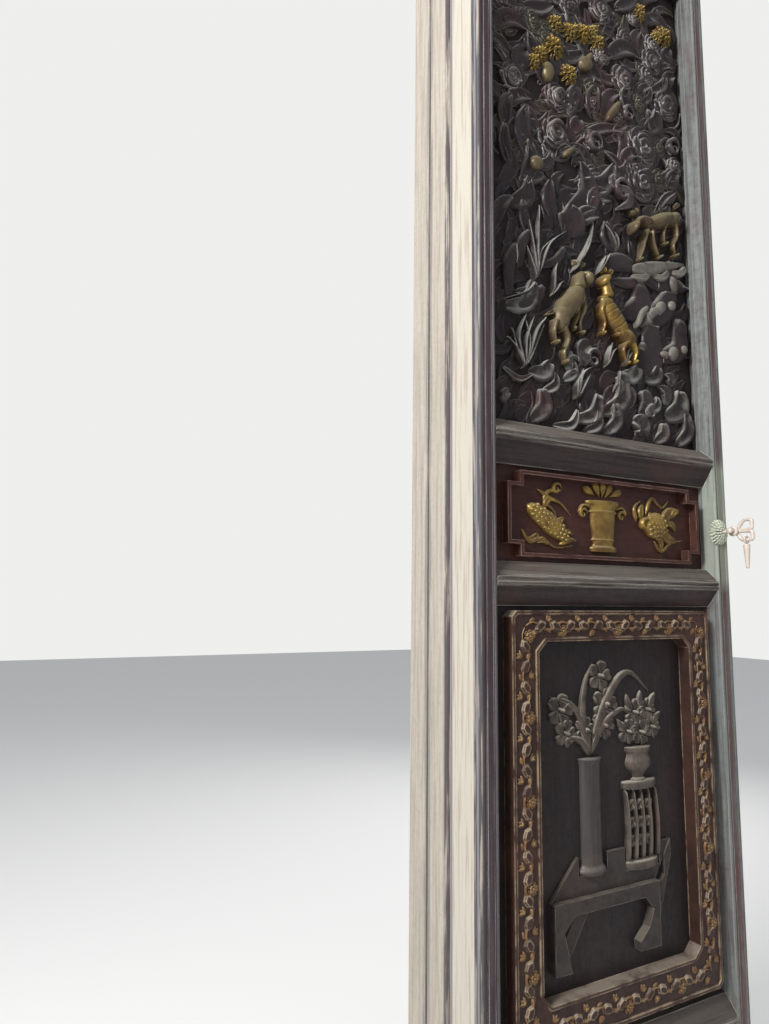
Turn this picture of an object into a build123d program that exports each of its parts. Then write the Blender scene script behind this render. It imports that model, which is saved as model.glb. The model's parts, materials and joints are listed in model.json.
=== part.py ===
"""Carved temple door: one tall panelled leaf, open at a right angle, on pivots in its own frame.

The frame is a stone sill, two jambs and a head. The origin is on the underside of the sill, below
the arris where the open leaf's carved face meets the outer plane of the jambs. +Z is up, +X runs
along the wall from the hinge jamb to the latch jamb, and -Y is the outside.
"""
import os
from math import atan2, cos, degrees, hypot, radians, sin, sqrt

from build123d import *

os.makedirs("parts", exist_ok=True)

# Leaf
leaf_width = 640.0
leaf_height = 2830.0
leaf_thickness = 92.0
stile_width = 46.0

# Jambs
jamb_width = 124.0
jamb_depth = 120.0
jamb_clearance = 5.0
jamb_arris_radius = 14.0
jamb_groove_width = 8.0
jamb_groove_depth = 7.0
jamb_strip_width = 58.0
latch_bead_width = 26.0

# Sill
sill_base_height = 100.0
sill_base_front = 300.0
sill_base_back = 150.0
sill_slab_height = 55.0
sill_slab_back = -30.0
sill_lug_back = 126.0
sill_lug_reach = 335.0
sill_lug_ogee = 130.0
latch_lug_reach = 22.0
leaf_floor_gap = 12.0

# Head
head_gap = 10.0
pivot_beam_height = 100.0
lintel_height = 150.0
lintel_depth = 165.0
lintel_chamfer = 60.0
stop_board_thickness = 50.0
stop_board_height = 46.0
stop_board_end = 360.0
stop_board_ogee = 107.0
stop_board_clearance = 2.0

# Mouldings of the leaf, as depths behind its front face and widths across it
arris_bead_radius = 6.0
flat_width = 13.0
flat_depth = 1.0
quirk_width = 2.0
quirk_depth = 3.5
bead_radius = 3.0
field_step = 3.0
slope_depth = 22.0
stile_slope_width = 10.0
board_depth = 32.0
board_thickness = 24.0
groove_depth = 8.0
fit_gap = 0.3
tenon_length = 34.0
tenon_thickness = 20.0
tenon_shoulder = 8.0

# Heights on the leaf of the five fields: (lower slope foot, lower edge, upper edge, upper slope foot)
bottom_field = (20.0, 66.0, 255.0, 270.0)
lower_field = (290.0, 328.0, 1073.0, 1108.0)
waist_field = (1127.0, 1151.0, 1324.0, 1366.0)
upper_field = (1385.0, 1404.0, 2485.0, 2530.0)
top_field = (2566.0, 2590.0, 2765.0, 2796.0)

# Pivots
pivot_inset = 30.0
pivot_pin_radius = 14.0
pivot_pin_length = 28.0
pivot_collar_radius = 24.0
pivot_spigot_radius = 7.5
pivot_spigot_length = 36.0
pivot_running_clearance = 0.05
pivot_socket_wall = 10.0
pivot_socket_floor = 8.0

# Carved border of the lower field
border_side_margin = 24.0
border_lower_margin = 22.0
border_upper_margin = 8.0
border_side_width = 58.0
border_lower_width = 67.0
border_upper_width = 54.0
border_front_depth = 8.0
border_outer_radius = 10.0
border_inner_chamfer = 18.0
border_lip_width = 6.0
border_lip_height = 2.5
vine_pitch = 34.0
vine_boss_length = 27.0
vine_boss_width = 17.0
vine_boss_height = 4.5
vine_boss_taper = 25.0

# Line frames: the waist's has stepped corners, those of the two end strips hollow ones
waist_frame_side_margin = 25.0
waist_frame_end_margin = 9.0
waist_frame_width = 7.0
waist_frame_height = 17.0
waist_fret_length = 28.0
waist_fret_rise = 22.0
strip_frame_side_margin = 32.0
strip_frame_end_margin = 10.0
bottom_strip_lower_margin = 28.0
strip_frame_width = 5.0
strip_frame_height = 5.0
strip_frame_corner = 16.0

# Applied reliefs: how far each kind stands off its board, and the facets of their forms
small_relief_height = 14.0
still_life_height = 16.0
ribbon_width = 7.0
ribbon_height = 6.0
oval_sides = 8
vessel_sides = 8
bend_steps = 5
band_end_share = 0.3
mound_tiers = ((1.0, 0.0), (0.85, 0.6), (0.45, 1.0))
leaf_tiers = ((1.0, 0.0), (0.4, 1.0))
limb_tiers = ((1.0, 0.0), (0.8, 1.0))
petal_ring_share = 0.55
petal_length_share = 1.0
button_share = 0.6
petal_button = 3.0

# Upper carving
carving_pocket = 12.0
carving_rim_width = 6.0
carving_height = 34.0
deer_half_length = 34.0

# Pull on the free stile
boss_radius = 27.0
boss_petals = 12
boss_height = 18.0
boss_inset = 29.0
boss_level = 1229.0
boss_web_share = 0.8
boss_petal_share = 0.27
eye_length = 40.5
eye_shank_radius = 2.9
eye_rod_radius = 3.4
eye_ring_radius = 7.5
eye_shank_bite = 30.0
bow_rod_radius = 3.8
bow_head_radius = 6.0
bow_head_thickness = 3.0
bow_stem_start = 14.0
bow_stem_length = 26.0
bow_loop_corner = 4.6
bow_upper_loop = ((0, 0), (20, 23), (37, 21), (36, 3))
bow_lower_loop = ((0, 0), (37, -2), (37, -19), (14, -19))
drop_head_radius = 8.6
drop_head_width = 6.0
drop_place = 23.0
drop_length = 58.0
drop_top_radius = 6.2
drop_tip_radius = 3.2
link_clearance = 0.3

# Places worked out from the driving sizes
leaf_bottom = sill_base_height + sill_slab_height + leaf_floor_gap
leaf_top = leaf_bottom + leaf_height
head_underside = leaf_top + head_gap
pivot_x = -leaf_thickness / 2
pivot_y = pivot_inset
hinge_face_x = pivot_x - hypot(pivot_x, pivot_y) - jamb_clearance
latch_face_x = pivot_x + hypot(leaf_width - pivot_y, pivot_y) + jamb_clearance
frame_left_x = hinge_face_x - jamb_width
frame_right_x = latch_face_x + jamb_width
frame_length = frame_right_x - frame_left_x
frame_middle_x = (frame_right_x + frame_left_x) / 2
jamb_foot_z = sill_base_height + sill_slab_height
jamb_height = head_underside - jamb_foot_z
arris_sweep = hypot(pivot_x + arris_bead_radius, pivot_y - arris_bead_radius) + arris_bead_radius
stop_back = pivot_y - arris_sweep - stop_board_clearance
lintel_back = stop_back - stop_board_thickness


def face(depth=0.0):
    """Plane parallel to the carved face, depth behind it: X runs in from the hinge edge, Y up."""
    return Plane(origin=(-depth, 0, leaf_bottom), x_dir=(0, 1, 0), z_dir=(1, 0, 0))


def across(inset):
    """Plane square to the rails at inset from the hinge edge: X is depth, Y is height on the leaf."""
    return Plane(origin=(0, inset, leaf_bottom), x_dir=(-1, 0, 0), z_dir=(0, 1, 0))


def finish(part, name):
    """Label the finished piece and write it."""
    part.label = name
    export_step(part, f"parts/{name}.step")


# Stone sill: a broad base and a moulded slab with a lug that carries the pivot
with BuildPart() as sill_base:
    with BuildSketch():
        with Locations((frame_middle_x, (sill_base_back - sill_base_front) / 2)):
            Rectangle(frame_length, sill_base_front + sill_base_back)
    extrude(amount=sill_base_height)
    chamfer(sill_base.faces().sort_by(Axis.Z)[-1].edges().sort_by(Axis.Y)[0], 4)
finish(sill_base.part, "sill_base")

lug_start = sill_lug_reach
lug_mid = lug_start + sill_lug_ogee / 2
lug_end = lug_start + sill_lug_ogee
lug_depth = sill_lug_back - sill_slab_back
lug_nib = 14.0
socket_radius = pivot_pin_radius + pivot_running_clearance + pivot_socket_wall
socket_depth = pivot_pin_length + pivot_socket_floor

with BuildPart() as sill_slab:
    with BuildSketch(Plane.XY.offset(sill_base_height)):
        with BuildLine():
            Polyline(
                (frame_left_x, -sill_base_front),
                (frame_right_x, -sill_base_front),
                (frame_right_x, sill_lug_back),
                (latch_face_x - latch_lug_reach, sill_lug_back),
                (latch_face_x - latch_lug_reach, sill_slab_back),
                (lug_end, sill_slab_back),
                (lug_end, sill_slab_back + lug_nib),
            )
            Bezier(
                (lug_end, sill_slab_back + lug_nib),
                (lug_mid, sill_slab_back + lug_nib),
                (lug_mid, sill_slab_back + lug_depth / 2),
            )
            Bezier(
                (lug_mid, sill_slab_back + lug_depth / 2),
                (lug_mid, sill_lug_back - lug_nib),
                (lug_start, sill_lug_back - lug_nib),
            )
            Polyline(
                (lug_start, sill_lug_back - lug_nib),
                (lug_start, sill_lug_back),
                (frame_left_x, sill_lug_back),
                (frame_left_x, -sill_base_front),
            )
        make_face()
    extrude(amount=sill_slab_height)
    latch_corner = sill_slab.edges().filter_by(Axis.Z).sort_by_distance(
        (latch_face_x - latch_lug_reach, sill_lug_back, jamb_foot_z)
    )[0]
    fillet(latch_corner, latch_lug_reach * 0.6)
    with Locations((pivot_x, pivot_y, jamb_foot_z)):
        Hole(socket_radius, depth=socket_depth)
finish(sill_slab.part, "sill_slab")

# Jambs: the hinge jamb's outer face is worked as two strips with a groove between
with BuildPart() as hinge_jamb:
    with BuildSketch(Plane.XY.offset(jamb_foot_z)):
        with Locations((hinge_face_x - jamb_width / 2, jamb_depth / 2)):
            Rectangle(jamb_width, jamb_depth)
        with Locations((hinge_face_x - jamb_strip_width - jamb_groove_width / 2, 0)):
            Rectangle(jamb_groove_width, 2 * jamb_groove_depth, mode=Mode.SUBTRACT)
    extrude(amount=jamb_height)
    arris = hinge_jamb.edges().filter_by(Axis.Z).sort_by_distance((hinge_face_x, 0, jamb_foot_z))[0]
    fillet(arris, jamb_arris_radius)
finish(hinge_jamb.part, "hinge_jamb")

with BuildPart() as latch_jamb:
    with BuildSketch(Plane.XY.offset(jamb_foot_z)):
        with Locations((latch_face_x + jamb_width / 2, jamb_depth / 2)):
            Rectangle(jamb_width, jamb_depth)
        with Locations((latch_face_x + latch_bead_width + jamb_groove_width / 2, 0)):
            Rectangle(jamb_groove_width, 2 * jamb_groove_depth, mode=Mode.SUBTRACT)
    extrude(amount=jamb_height)
    arris = latch_jamb.edges().filter_by(Axis.Z).sort_by_distance((latch_face_x, 0, jamb_foot_z))[0]
    fillet(arris, jamb_arris_radius)
finish(latch_jamb.part, "latch_jamb")

# Head: a pivot beam on the jambs, a chamfered lintel outside it and an ogee-ended stop board
with BuildPart() as pivot_beam:
    with BuildSketch(Plane.XY.offset(head_underside)):
        with Locations((frame_middle_x, (jamb_depth + lintel_back) / 2)):
            Rectangle(frame_length, jamb_depth - lintel_back)
    extrude(amount=pivot_beam_height)
    with BuildSketch(Plane.XY.offset(head_underside)):
        with Locations((pivot_x, pivot_y)):
            Circle(socket_radius)
    extrude(amount=socket_depth, mode=Mode.SUBTRACT)
finish(pivot_beam.part, "pivot_beam")

lintel_front = lintel_back - lintel_depth
lintel_bottom = head_underside - stop_board_height
with BuildPart() as lintel:
    with BuildSketch(Plane(origin=(frame_left_x, 0, lintel_bottom), x_dir=(0, 1, 0), z_dir=(1, 0, 0))):
        with BuildLine():
            Polyline(
                (lintel_back, 0),
                (lintel_back, lintel_height),
                (lintel_front, lintel_height),
                (lintel_front, lintel_chamfer),
                (lintel_front + lintel_chamfer, 0),
                close=True,
            )
        make_face()
    extrude(amount=frame_length)
finish(lintel.part, "lintel")

stop_tip = stop_board_end + stop_board_ogee
stop_lip = 8.0
with BuildPart() as stop_board:
    with BuildSketch(Plane.XZ.offset(-stop_back)):
        with BuildLine():
            Polyline(
                (stop_tip, head_underside - stop_lip),
                (stop_tip, head_underside),
                (frame_left_x, head_underside),
                (frame_left_x, lintel_bottom),
                (stop_board_end, lintel_bottom),
            )
            Bezier(
                (stop_board_end, lintel_bottom),
                (stop_board_end + stop_board_ogee / 2, lintel_bottom),
                (stop_board_end + stop_board_ogee / 2, head_underside - stop_board_height / 2),
            )
            Bezier(
                (stop_board_end + stop_board_ogee / 2, head_underside - stop_board_height / 2),
                (stop_board_end + stop_board_ogee / 2, head_underside - stop_lip),
                (stop_tip, head_underside - stop_lip),
            )
        make_face()
    extrude(amount=stop_board_thickness)
finish(stop_board.part, "stop_board")


# Iron sockets let into the slab and the beam, and the iron pivots that turn in them
def socket(mouth_z, inward, name):
    """A cup let into stone or timber, its mouth flush with the surface at mouth_z."""
    with BuildPart() as cup:
        with BuildSketch(Plane(origin=(pivot_x, pivot_y, mouth_z), z_dir=(0, 0, inward))):
            Circle(socket_radius)
        extrude(amount=socket_depth)
        with BuildSketch(Plane(origin=(pivot_x, pivot_y, mouth_z), z_dir=(0, 0, inward))):
            Circle(pivot_pin_radius + pivot_running_clearance)
        extrude(amount=socket_depth - pivot_socket_floor, mode=Mode.SUBTRACT)
    finish(cup.part, name)


def pivot(leaf_end_z, outward, gap, name):
    """A turned pin with a collar against the leaf's end and a spigot up into the stile."""
    with BuildPart() as pin:
        with BuildSketch(Plane(origin=(pivot_x, pivot_y, leaf_end_z), z_dir=(0, 0, outward))):
            Circle(pivot_collar_radius)
        extrude(amount=gap - 2)
        with BuildSketch(Plane(origin=(pivot_x, pivot_y, leaf_end_z), z_dir=(0, 0, outward))):
            Circle(pivot_pin_radius)
        extrude(amount=gap + socket_depth - pivot_socket_floor - fit_gap)
        with BuildSketch(Plane(origin=(pivot_x, pivot_y, leaf_end_z), z_dir=(0, 0, -outward))):
            Circle(pivot_spigot_radius)
        extrude(amount=pivot_spigot_length)
    finish(pin.part, name)


socket(jamb_foot_z, -1, "sill_socket")
socket(head_underside, 1, "head_socket")
pivot(leaf_bottom, -1, leaf_floor_gap, "lower_pivot")
pivot(leaf_top, 1, head_gap, "upper_pivot")


# Rails: one section for each, with the slopes of the fields above and below and two beads between
def rail(name, lower, upper):
    """A rail with its moulded face mitred over the stiles' slopes, panel grooves and tenons."""
    edge_low = lower[2] if lower else 0
    edge_high = upper[1] if upper else leaf_height
    foot_low = lower[3] if lower else edge_low
    foot_high = upper[0] if upper else edge_high
    middle = (edge_low + edge_high) / 2
    bead_step = (foot_high - foot_low - 4 * bead_radius) / 3
    bead_low = foot_low + bead_step + bead_radius
    bead_high = foot_high - bead_step - bead_radius
    span = leaf_width - 2 * stile_width
    slope_start = stile_width - stile_slope_width
    with BuildPart() as piece:
        with BuildSketch(across(slope_start)):
            with Locations(((field_step + leaf_thickness) / 2, middle)):
                Rectangle(leaf_thickness - field_step, edge_high - edge_low)
            for edge, foot, field in ((edge_low, foot_low, lower), (edge_high, foot_high, upper)):
                if field:
                    Polygon(
                        (field_step, edge),
                        (slope_depth, edge),
                        (field_step, foot),
                        align=None,
                        mode=Mode.SUBTRACT,
                    )
            with Locations((field_step, bead_low), (field_step, bead_high)):
                Circle(bead_radius)
        extrude(amount=span + 2 * stile_slope_width)
        for side in (slope_start, leaf_width - stile_width):
            with BuildSketch(across(side)):
                with Locations(((leaf_thickness + slope_depth) / 2, middle)):
                    Rectangle(leaf_thickness - slope_depth, edge_high - edge_low)
            extrude(amount=stile_slope_width, mode=Mode.SUBTRACT)
        for edge, field in ((edge_low, lower), (edge_high, upper)):
            if field:
                with BuildSketch(across(stile_width)):
                    with Locations((board_depth + board_thickness / 2, edge)):
                        Rectangle(board_thickness, 2 * groove_depth)
                extrude(amount=span, mode=Mode.SUBTRACT)
        tenon_depth = (board_depth + board_thickness + leaf_thickness) / 2
        for side, way in ((stile_width, -1), (leaf_width - stile_width, 1)):
            with BuildSketch(across(side)):
                with Locations((tenon_depth, middle)):
                    Rectangle(tenon_thickness, edge_high - edge_low - 2 * tenon_shoulder)
            extrude(amount=way * tenon_length)
    finish(piece.part, name)
    return piece.part


rails = [
    rail("bottom_rail", None, bottom_field),
    rail("lower_rail", bottom_field, lower_field),
    rail("waist_lower_rail", lower_field, waist_field),
    rail("waist_upper_rail", waist_field, upper_field),
    rail("upper_rail", upper_field, top_field),
    rail("top_rail", top_field, None),
]


# Stiles: arris bead, flat, quirk, bead and slope worked along the front, a groove for the boards
def stile(name, edge, way, hung):
    """A stile from its outer edge inwards; one is hung on the pivots, the other takes the pull's eye."""
    flat_end = 2 * arris_bead_radius + quirk_width + flat_width
    bead_start = flat_end + quirk_width
    bead_end = bead_start + 2 * bead_radius
    slope_start = stile_width - stile_slope_width
    board_back = board_depth + board_thickness

    def at(depth, inset):
        return (-depth, edge + way * inset)

    with BuildPart() as piece:
        with BuildSketch(Plane.XY.offset(leaf_bottom)):
            with BuildLine():
                Line(at(leaf_thickness, 0), at(arris_bead_radius, 0))
                ThreePointArc(
                    at(arris_bead_radius, 0),
                    at(0, arris_bead_radius),
                    at(arris_bead_radius / 2, arris_bead_radius * (1 + sqrt(3) / 2)),
                )
                Polyline(
                    at(arris_bead_radius / 2, arris_bead_radius * (1 + sqrt(3) / 2)),
                    at(quirk_depth, 2 * arris_bead_radius),
                    at(flat_depth, 2 * arris_bead_radius + quirk_width),
                    at(flat_depth, flat_end),
                    at(quirk_depth, flat_end),
                    at(quirk_depth, bead_start),
                    at(bead_radius, bead_start),
                )
                ThreePointArc(
                    at(bead_radius, bead_start),
                    at(0, bead_start + bead_radius),
                    at(bead_radius, bead_end),
                )
                Polyline(
                    at(bead_radius, bead_end),
                    at(field_step, slope_start),
                    at(slope_depth, stile_width),
                    at(board_depth, stile_width),
                    at(board_depth, stile_width - groove_depth),
                    at(board_back, stile_width - groove_depth),
                    at(board_back, stile_width),
                    at(leaf_thickness, stile_width),
                    at(leaf_thickness, 0),
                )
            make_face()
        extrude(amount=leaf_height)
        for member in rails:
            add(member, mode=Mode.SUBTRACT)
        if not hung:
            with BuildSketch(face(eye_shank_bite)):
                with Locations((leaf_width - boss_inset, boss_level)):
                    Circle(eye_shank_radius)
            extrude(amount=eye_shank_bite, mode=Mode.SUBTRACT)
        if hung:
            with Locations((pivot_x, pivot_y, leaf_top)):
                Hole(pivot_spigot_radius, depth=pivot_spigot_length)
            with Locations(Location((pivot_x, pivot_y, leaf_bottom), (180, 0, 0))):
                Hole(pivot_spigot_radius, depth=pivot_spigot_length)
    finish(piece.part, name)


stile("hinge_stile", 0, 1, True)
stile("free_stile", leaf_width, -1, False)


# Boards: each slides in the grooves of its field
def board(name, field, pocket=0.0):
    """A board in the grooves of a field, with its face sunk by pocket inside a narrow rim."""
    low = field[1] - groove_depth + fit_gap
    high = field[2] + groove_depth - fit_gap
    inset = stile_width - groove_depth + fit_gap
    with BuildPart() as piece:
        with BuildSketch(face(board_depth + board_thickness)):
            with Locations((leaf_width / 2, (low + high) / 2)):
                Rectangle(leaf_width - 2 * inset, high - low)
        extrude(amount=board_thickness)
        if pocket:
            rim = groove_depth + carving_rim_width
            with BuildSketch(face(board_depth + pocket)):
                with Locations((leaf_width / 2, (low + high) / 2)):
                    Rectangle(leaf_width - 2 * inset - 2 * rim, high - low - 2 * rim)
            extrude(amount=pocket, mode=Mode.SUBTRACT)
    return piece.part


finish(board("top_strip_board", top_field), "top_strip_board")
finish(board("waist_board", waist_field), "waist_board")
finish(board("lower_board", lower_field), "lower_board")
finish(board("bottom_strip_board", bottom_field), "bottom_strip_board")


# Line frames planted on the boards
def line_frame(name, corners, width, height):
    """A thin frame that follows the given outline, its outer edge on it."""
    with BuildPart() as piece:
        with BuildSketch(face(board_depth)):
            with BuildLine():
                Polyline(*corners, close=True)
            make_face()
            offset(amount=-width, kind=Kind.INTERSECTION, mode=Mode.SUBTRACT)
        extrude(amount=height)
    finish(piece.part, name)


def stepped_corners(left, right, low, high, run, rise):
    """Corner points of a rectangle whose corners step in once, counter-clockwise."""
    return (
        (left + run, low),
        (right - run, low),
        (right - run, low + rise),
        (right, low + rise),
        (right, high - rise),
        (right - run, high - rise),
        (right - run, high),
        (left + run, high),
        (left + run, high - rise),
        (left, high - rise),
        (left, low + rise),
        (left + run, low + rise),
    )


def cut_corners(left, right, low, high, cut):
    """Corner points of a rectangle with its corners cut off at 45 degrees."""
    return (
        (left + cut, low),
        (right - cut, low),
        (right, low + cut),
        (right, high - cut),
        (right - cut, high),
        (left + cut, high),
        (left, high - cut),
        (left, low + cut),
    )


waist_left = stile_width + waist_frame_side_margin
strip_left = stile_width + strip_frame_side_margin
line_frame(
    "waist_line_frame",
    stepped_corners(
        waist_left,
        leaf_width - waist_left,
        waist_field[1] + waist_frame_end_margin,
        waist_field[2] - waist_frame_end_margin,
        waist_fret_length,
        waist_fret_rise,
    ),
    waist_frame_width,
    waist_frame_height,
)
line_frame(
    "top_strip_line_frame",
    cut_corners(
        strip_left,
        leaf_width - strip_left,
        top_field[1] + strip_frame_end_margin,
        top_field[2] - strip_frame_end_margin,
        strip_frame_corner,
    ),
    strip_frame_width,
    strip_frame_height,
)
line_frame(
    "bottom_strip_line_frame",
    cut_corners(
        strip_left,
        leaf_width - strip_left,
        bottom_field[1] + bottom_strip_lower_margin,
        bottom_field[2] - strip_frame_end_margin,
        strip_frame_corner,
    ),
    strip_frame_width,
    strip_frame_height,
)

# Carved border of the lower field: a broad frame with raised lips and a running vine between them
border_left = stile_width + border_side_margin
border_right = leaf_width - border_left
border_low = lower_field[1] + border_lower_margin
border_high = lower_field[2] - border_upper_margin
inner_left = border_left + border_side_width
inner_right = border_right - border_side_width
inner_low = border_low + border_lower_width
inner_high = border_high - border_upper_width
border_thickness = board_depth - border_front_depth


def vine_places():
    """Centres and directions of the vine's bosses, evenly spaced along the four bands."""
    mid_left = (border_left + inner_left) / 2
    mid_right = (border_right + inner_right) / 2
    mid_low = (border_low + inner_low) / 2
    mid_high = (border_high + inner_high) / 2
    across_count = round((mid_right - mid_left) / vine_pitch) - 1
    upward_count = round((mid_high - mid_low) / vine_pitch) - 1
    places = []
    for step in range(across_count):
        run = mid_left + (step + 1) * (mid_right - mid_left) / (across_count + 1)
        tilt = 28 if step % 2 else -28
        places.append((run, mid_low, tilt))
        places.append((run, mid_high, -tilt))
    for step in range(upward_count):
        rise = mid_low + (step + 1) * (mid_high - mid_low) / (upward_count + 1)
        tilt = 28 if step % 2 else -28
        places.append((mid_left, rise, 90 + tilt))
        places.append((mid_right, rise, 90 - tilt))
    return places


with BuildPart() as carved_border:
    outer_corners = cut_corners(border_left, border_right, border_low, border_high, border_outer_radius)
    inner_corners = cut_corners(inner_left, inner_right, inner_low, inner_high, border_inner_chamfer)
    with BuildSketch(face(board_depth)):
        with BuildLine():
            Polyline(*outer_corners, close=True)
        make_face()
        with BuildLine():
            Polyline(*inner_corners, close=True)
        make_face(mode=Mode.SUBTRACT)
    extrude(amount=border_thickness)
    with BuildSketch(face(border_front_depth)):
        with BuildLine():
            Polyline(*outer_corners, close=True)
        make_face()
        offset(amount=-border_lip_width, kind=Kind.INTERSECTION, mode=Mode.SUBTRACT)
    extrude(amount=border_lip_height)
    with BuildSketch(face(border_front_depth)):
        with BuildLine():
            Polyline(*inner_corners, close=True)
        make_face()
        offset(amount=border_lip_width, kind=Kind.INTERSECTION)
        with BuildLine():
            Polyline(*inner_corners, close=True)
        make_face(mode=Mode.SUBTRACT)
    extrude(amount=border_lip_height)
    with BuildSketch(face(border_front_depth)):
        for run, rise, turn in vine_places():
            with Locations(Location((run, rise), turn)):
                Polygon(
                    (-vine_boss_length / 2, 0),
                    (-vine_boss_length / 5, -vine_boss_width / 2),
                    (vine_boss_length / 4, -vine_boss_width / 2.5),
                    (vine_boss_length / 2, 0),
                    (vine_boss_length / 5, vine_boss_width / 2),
                    (-vine_boss_length / 4, vine_boss_width / 2.5),
                    align=None,
                )
    extrude(amount=vine_boss_height, taper=vine_boss_taper)
finish(carved_border.part, "carved_border")


# Shapes that the reliefs are carved from: flat facets, standing on the plane at depth
def oval(length, width):
    """Corner points of a flat-sided oval."""
    turns = [radians(360 * side / oval_sides) for side in range(oval_sides)]
    return [(length / 2 * cos(turn), width / 2 * sin(turn)) for turn in turns]


def pointed(length, width):
    """Corner points of a leaf-shaped outline."""
    near, far, half = length / 6, length / 2, width / 2
    return [(-far, 0), (-near, -half), (near, -half), (far, 0), (near, half), (-near, half)]


def carved(depth, run, rise, turn, height, outline, tiers):
    """A swelling that narrows from its outline through tiers: (share of the plan, share of the height)."""
    with BuildPart() as swelling:
        for share, up in tiers:
            with BuildSketch(face(depth - height * up)):
                with Locations(Location((run, rise), turn)):
                    Polygon(*[(share * x, share * y) for x, y in outline], align=None)
        loft(ruled=True)
    return swelling.part


def mound(depth, run, rise, length, width, turn, height):
    """A rounded oval swelling."""
    return carved(depth, run, rise, turn, height, oval(length, width), mound_tiers)


def leaf(depth, run, rise, length, width, turn, height):
    """A ridged leaf or petal."""
    return carved(depth, run, rise, turn, height, pointed(length, width), leaf_tiers)


def limb(depth, start, end, start_width, end_width, height):
    """A tapering limb between two points."""
    length = hypot(end[0] - start[0], end[1] - start[1])
    turn = degrees(atan2(end[1] - start[1], end[0] - start[0]))
    outline = [
        (-length / 2, -start_width / 2),
        (length / 2, -end_width / 2),
        (length / 2, end_width / 2),
        (-length / 2, start_width / 2),
    ]
    return carved(depth, (start[0] + end[0]) / 2, (start[1] + end[1]) / 2, turn, height, outline, limb_tiers)


def bend(start, pull, end):
    """Points along the curve from start to end that leans towards pull."""
    shares = [step / bend_steps for step in range(bend_steps + 1)]
    return [
        tuple((1 - t) ** 2 * a + 2 * t * (1 - t) * b + t**2 * c for a, b, c in zip(start, pull, end))
        for t in shares
    ]


def band(depth, course, width, height):
    """A flat band along a course of points, narrowed at both ends."""
    last = len(course) - 1
    left, right = [], []
    for step, (run, rise) in enumerate(course):
        before = course[max(step - 1, 0)]
        after = course[min(step + 1, last)]
        length = hypot(after[0] - before[0], after[1] - before[1])
        reach = width / 2 * (band_end_share if step in (0, last) else 1) / length
        away = (reach * (before[1] - after[1]), reach * (after[0] - before[0]))
        left.append((run + away[0], rise + away[1]))
        right.append((run - away[0], rise - away[1]))
    with BuildPart() as strip:
        with BuildSketch(face(depth)):
            Polygon(*left, *reversed(right), align=None)
        extrude(amount=height)
    return strip.part


def blossom(depth, run, rise, radius, petals, height):
    """The parts of a round flower: a ring of petals about a button."""
    petal_width = 2.3 * petal_ring_share * radius * sin(radians(180 / petals))
    button = button_share * radius
    parts = [mound(depth, run, rise, button, button, 0, height + petal_button)]
    for petal in range(petals):
        angle = 360 * petal / petals
        along = run + petal_ring_share * radius * cos(radians(angle))
        up = rise + petal_ring_share * radius * sin(radians(angle))
        parts.append(leaf(depth, along, up, petal_length_share * radius, petal_width, angle, height))
    return parts


def half_vessel(run, sections, squash):
    """One half of a turned vessel standing out of the board, through (height, radius) sections."""
    turns = [radians(180 * side / vessel_sides) for side in range(vessel_sides + 1)]
    with BuildPart() as vessel:
        for rise, radius in sections:
            with BuildSketch(Plane.XY.offset(leaf_bottom + rise)):
                with Locations((-board_depth, run)):
                    Polygon(*[(squash * radius * sin(t), radius * cos(t)) for t in turns], align=None)
        loft(ruled=True)
    return vessel.part


# Waist reliefs: a ribboned gourd, an eared vase and a ribboned fruit
with BuildPart() as gourd_relief:
    add(mound(board_depth, 148, 1241, 72, 48, -42, small_relief_height))
    add(mound(board_depth, 190, 1210, 54, 34, -38, small_relief_height))
    add(leaf(board_depth, 221, 1190, 44, 18, 15, small_relief_height * 0.7))
    add(band(board_depth, bend((212, 1288), (150, 1276), (196, 1236)), ribbon_width, ribbon_height))
    add(band(board_depth, bend((112, 1212), (140, 1176), (184, 1198)), ribbon_width, ribbon_height))
    add(band(board_depth, bend((176, 1192), (206, 1170), (238, 1184)), ribbon_width, ribbon_height))
finish(gourd_relief.part, "gourd_relief")

vase_centre = 311.0
with BuildPart() as waist_vase_relief:
    vase_sections = ((1176, 33), (1184, 33), (1190, 27), (1262, 36), (1268, 43), (1274, 43))
    add(half_vessel(vase_centre, vase_sections, 0.45))
    for side in (-1, 1):
        add(leaf(board_depth, vase_centre + side * 50, 1250, 34, 16, side * 40, 8))
    add(mound(board_depth, vase_centre, 1284, 26, 26, 0, 8))
    add(leaf(board_depth, vase_centre - 5, 1299, 96, 16, 0, 9))
finish(waist_vase_relief.part, "waist_vase_relief")

with BuildPart() as fruit_relief:
    add(mound(board_depth, 440, 1228, 58, 52, 0, small_relief_height))
    add(leaf(board_depth, 488, 1256, 84, 40, 24, small_relief_height))
    add(leaf(board_depth, 476, 1222, 60, 28, -20, small_relief_height * 0.8))
    add(band(board_depth, bend((428, 1250), (462, 1310), (500, 1290)), ribbon_width, ribbon_height))
    add(band(board_depth, bend((450, 1206), (490, 1166), (538, 1212)), ribbon_width, ribbon_height))
finish(fruit_relief.part, "fruit_relief")

# Top strip reliefs: three gilded vessels
strip_middle = (top_field[1] + top_field[2]) / 2
for name, run, width in (("censer_relief", 164.0, 42.0), ("ewer_relief", 288.0, 33.0), ("jar_relief", 446.0, 24.0)):
    with BuildPart() as vessel:
        outline = (
            (strip_middle - 50, width * 0.6),
            (strip_middle - 40, width * 0.4),
            (strip_middle - 8, width),
            (strip_middle + 22, width * 0.55),
            (strip_middle + 30, width * 0.75),
        )
        add(half_vessel(run, outline, 0.4))
        add(mound(board_depth, run, strip_middle + 40, width * 0.9, 24, 0, 9))
    finish(vessel.part, name)

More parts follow.
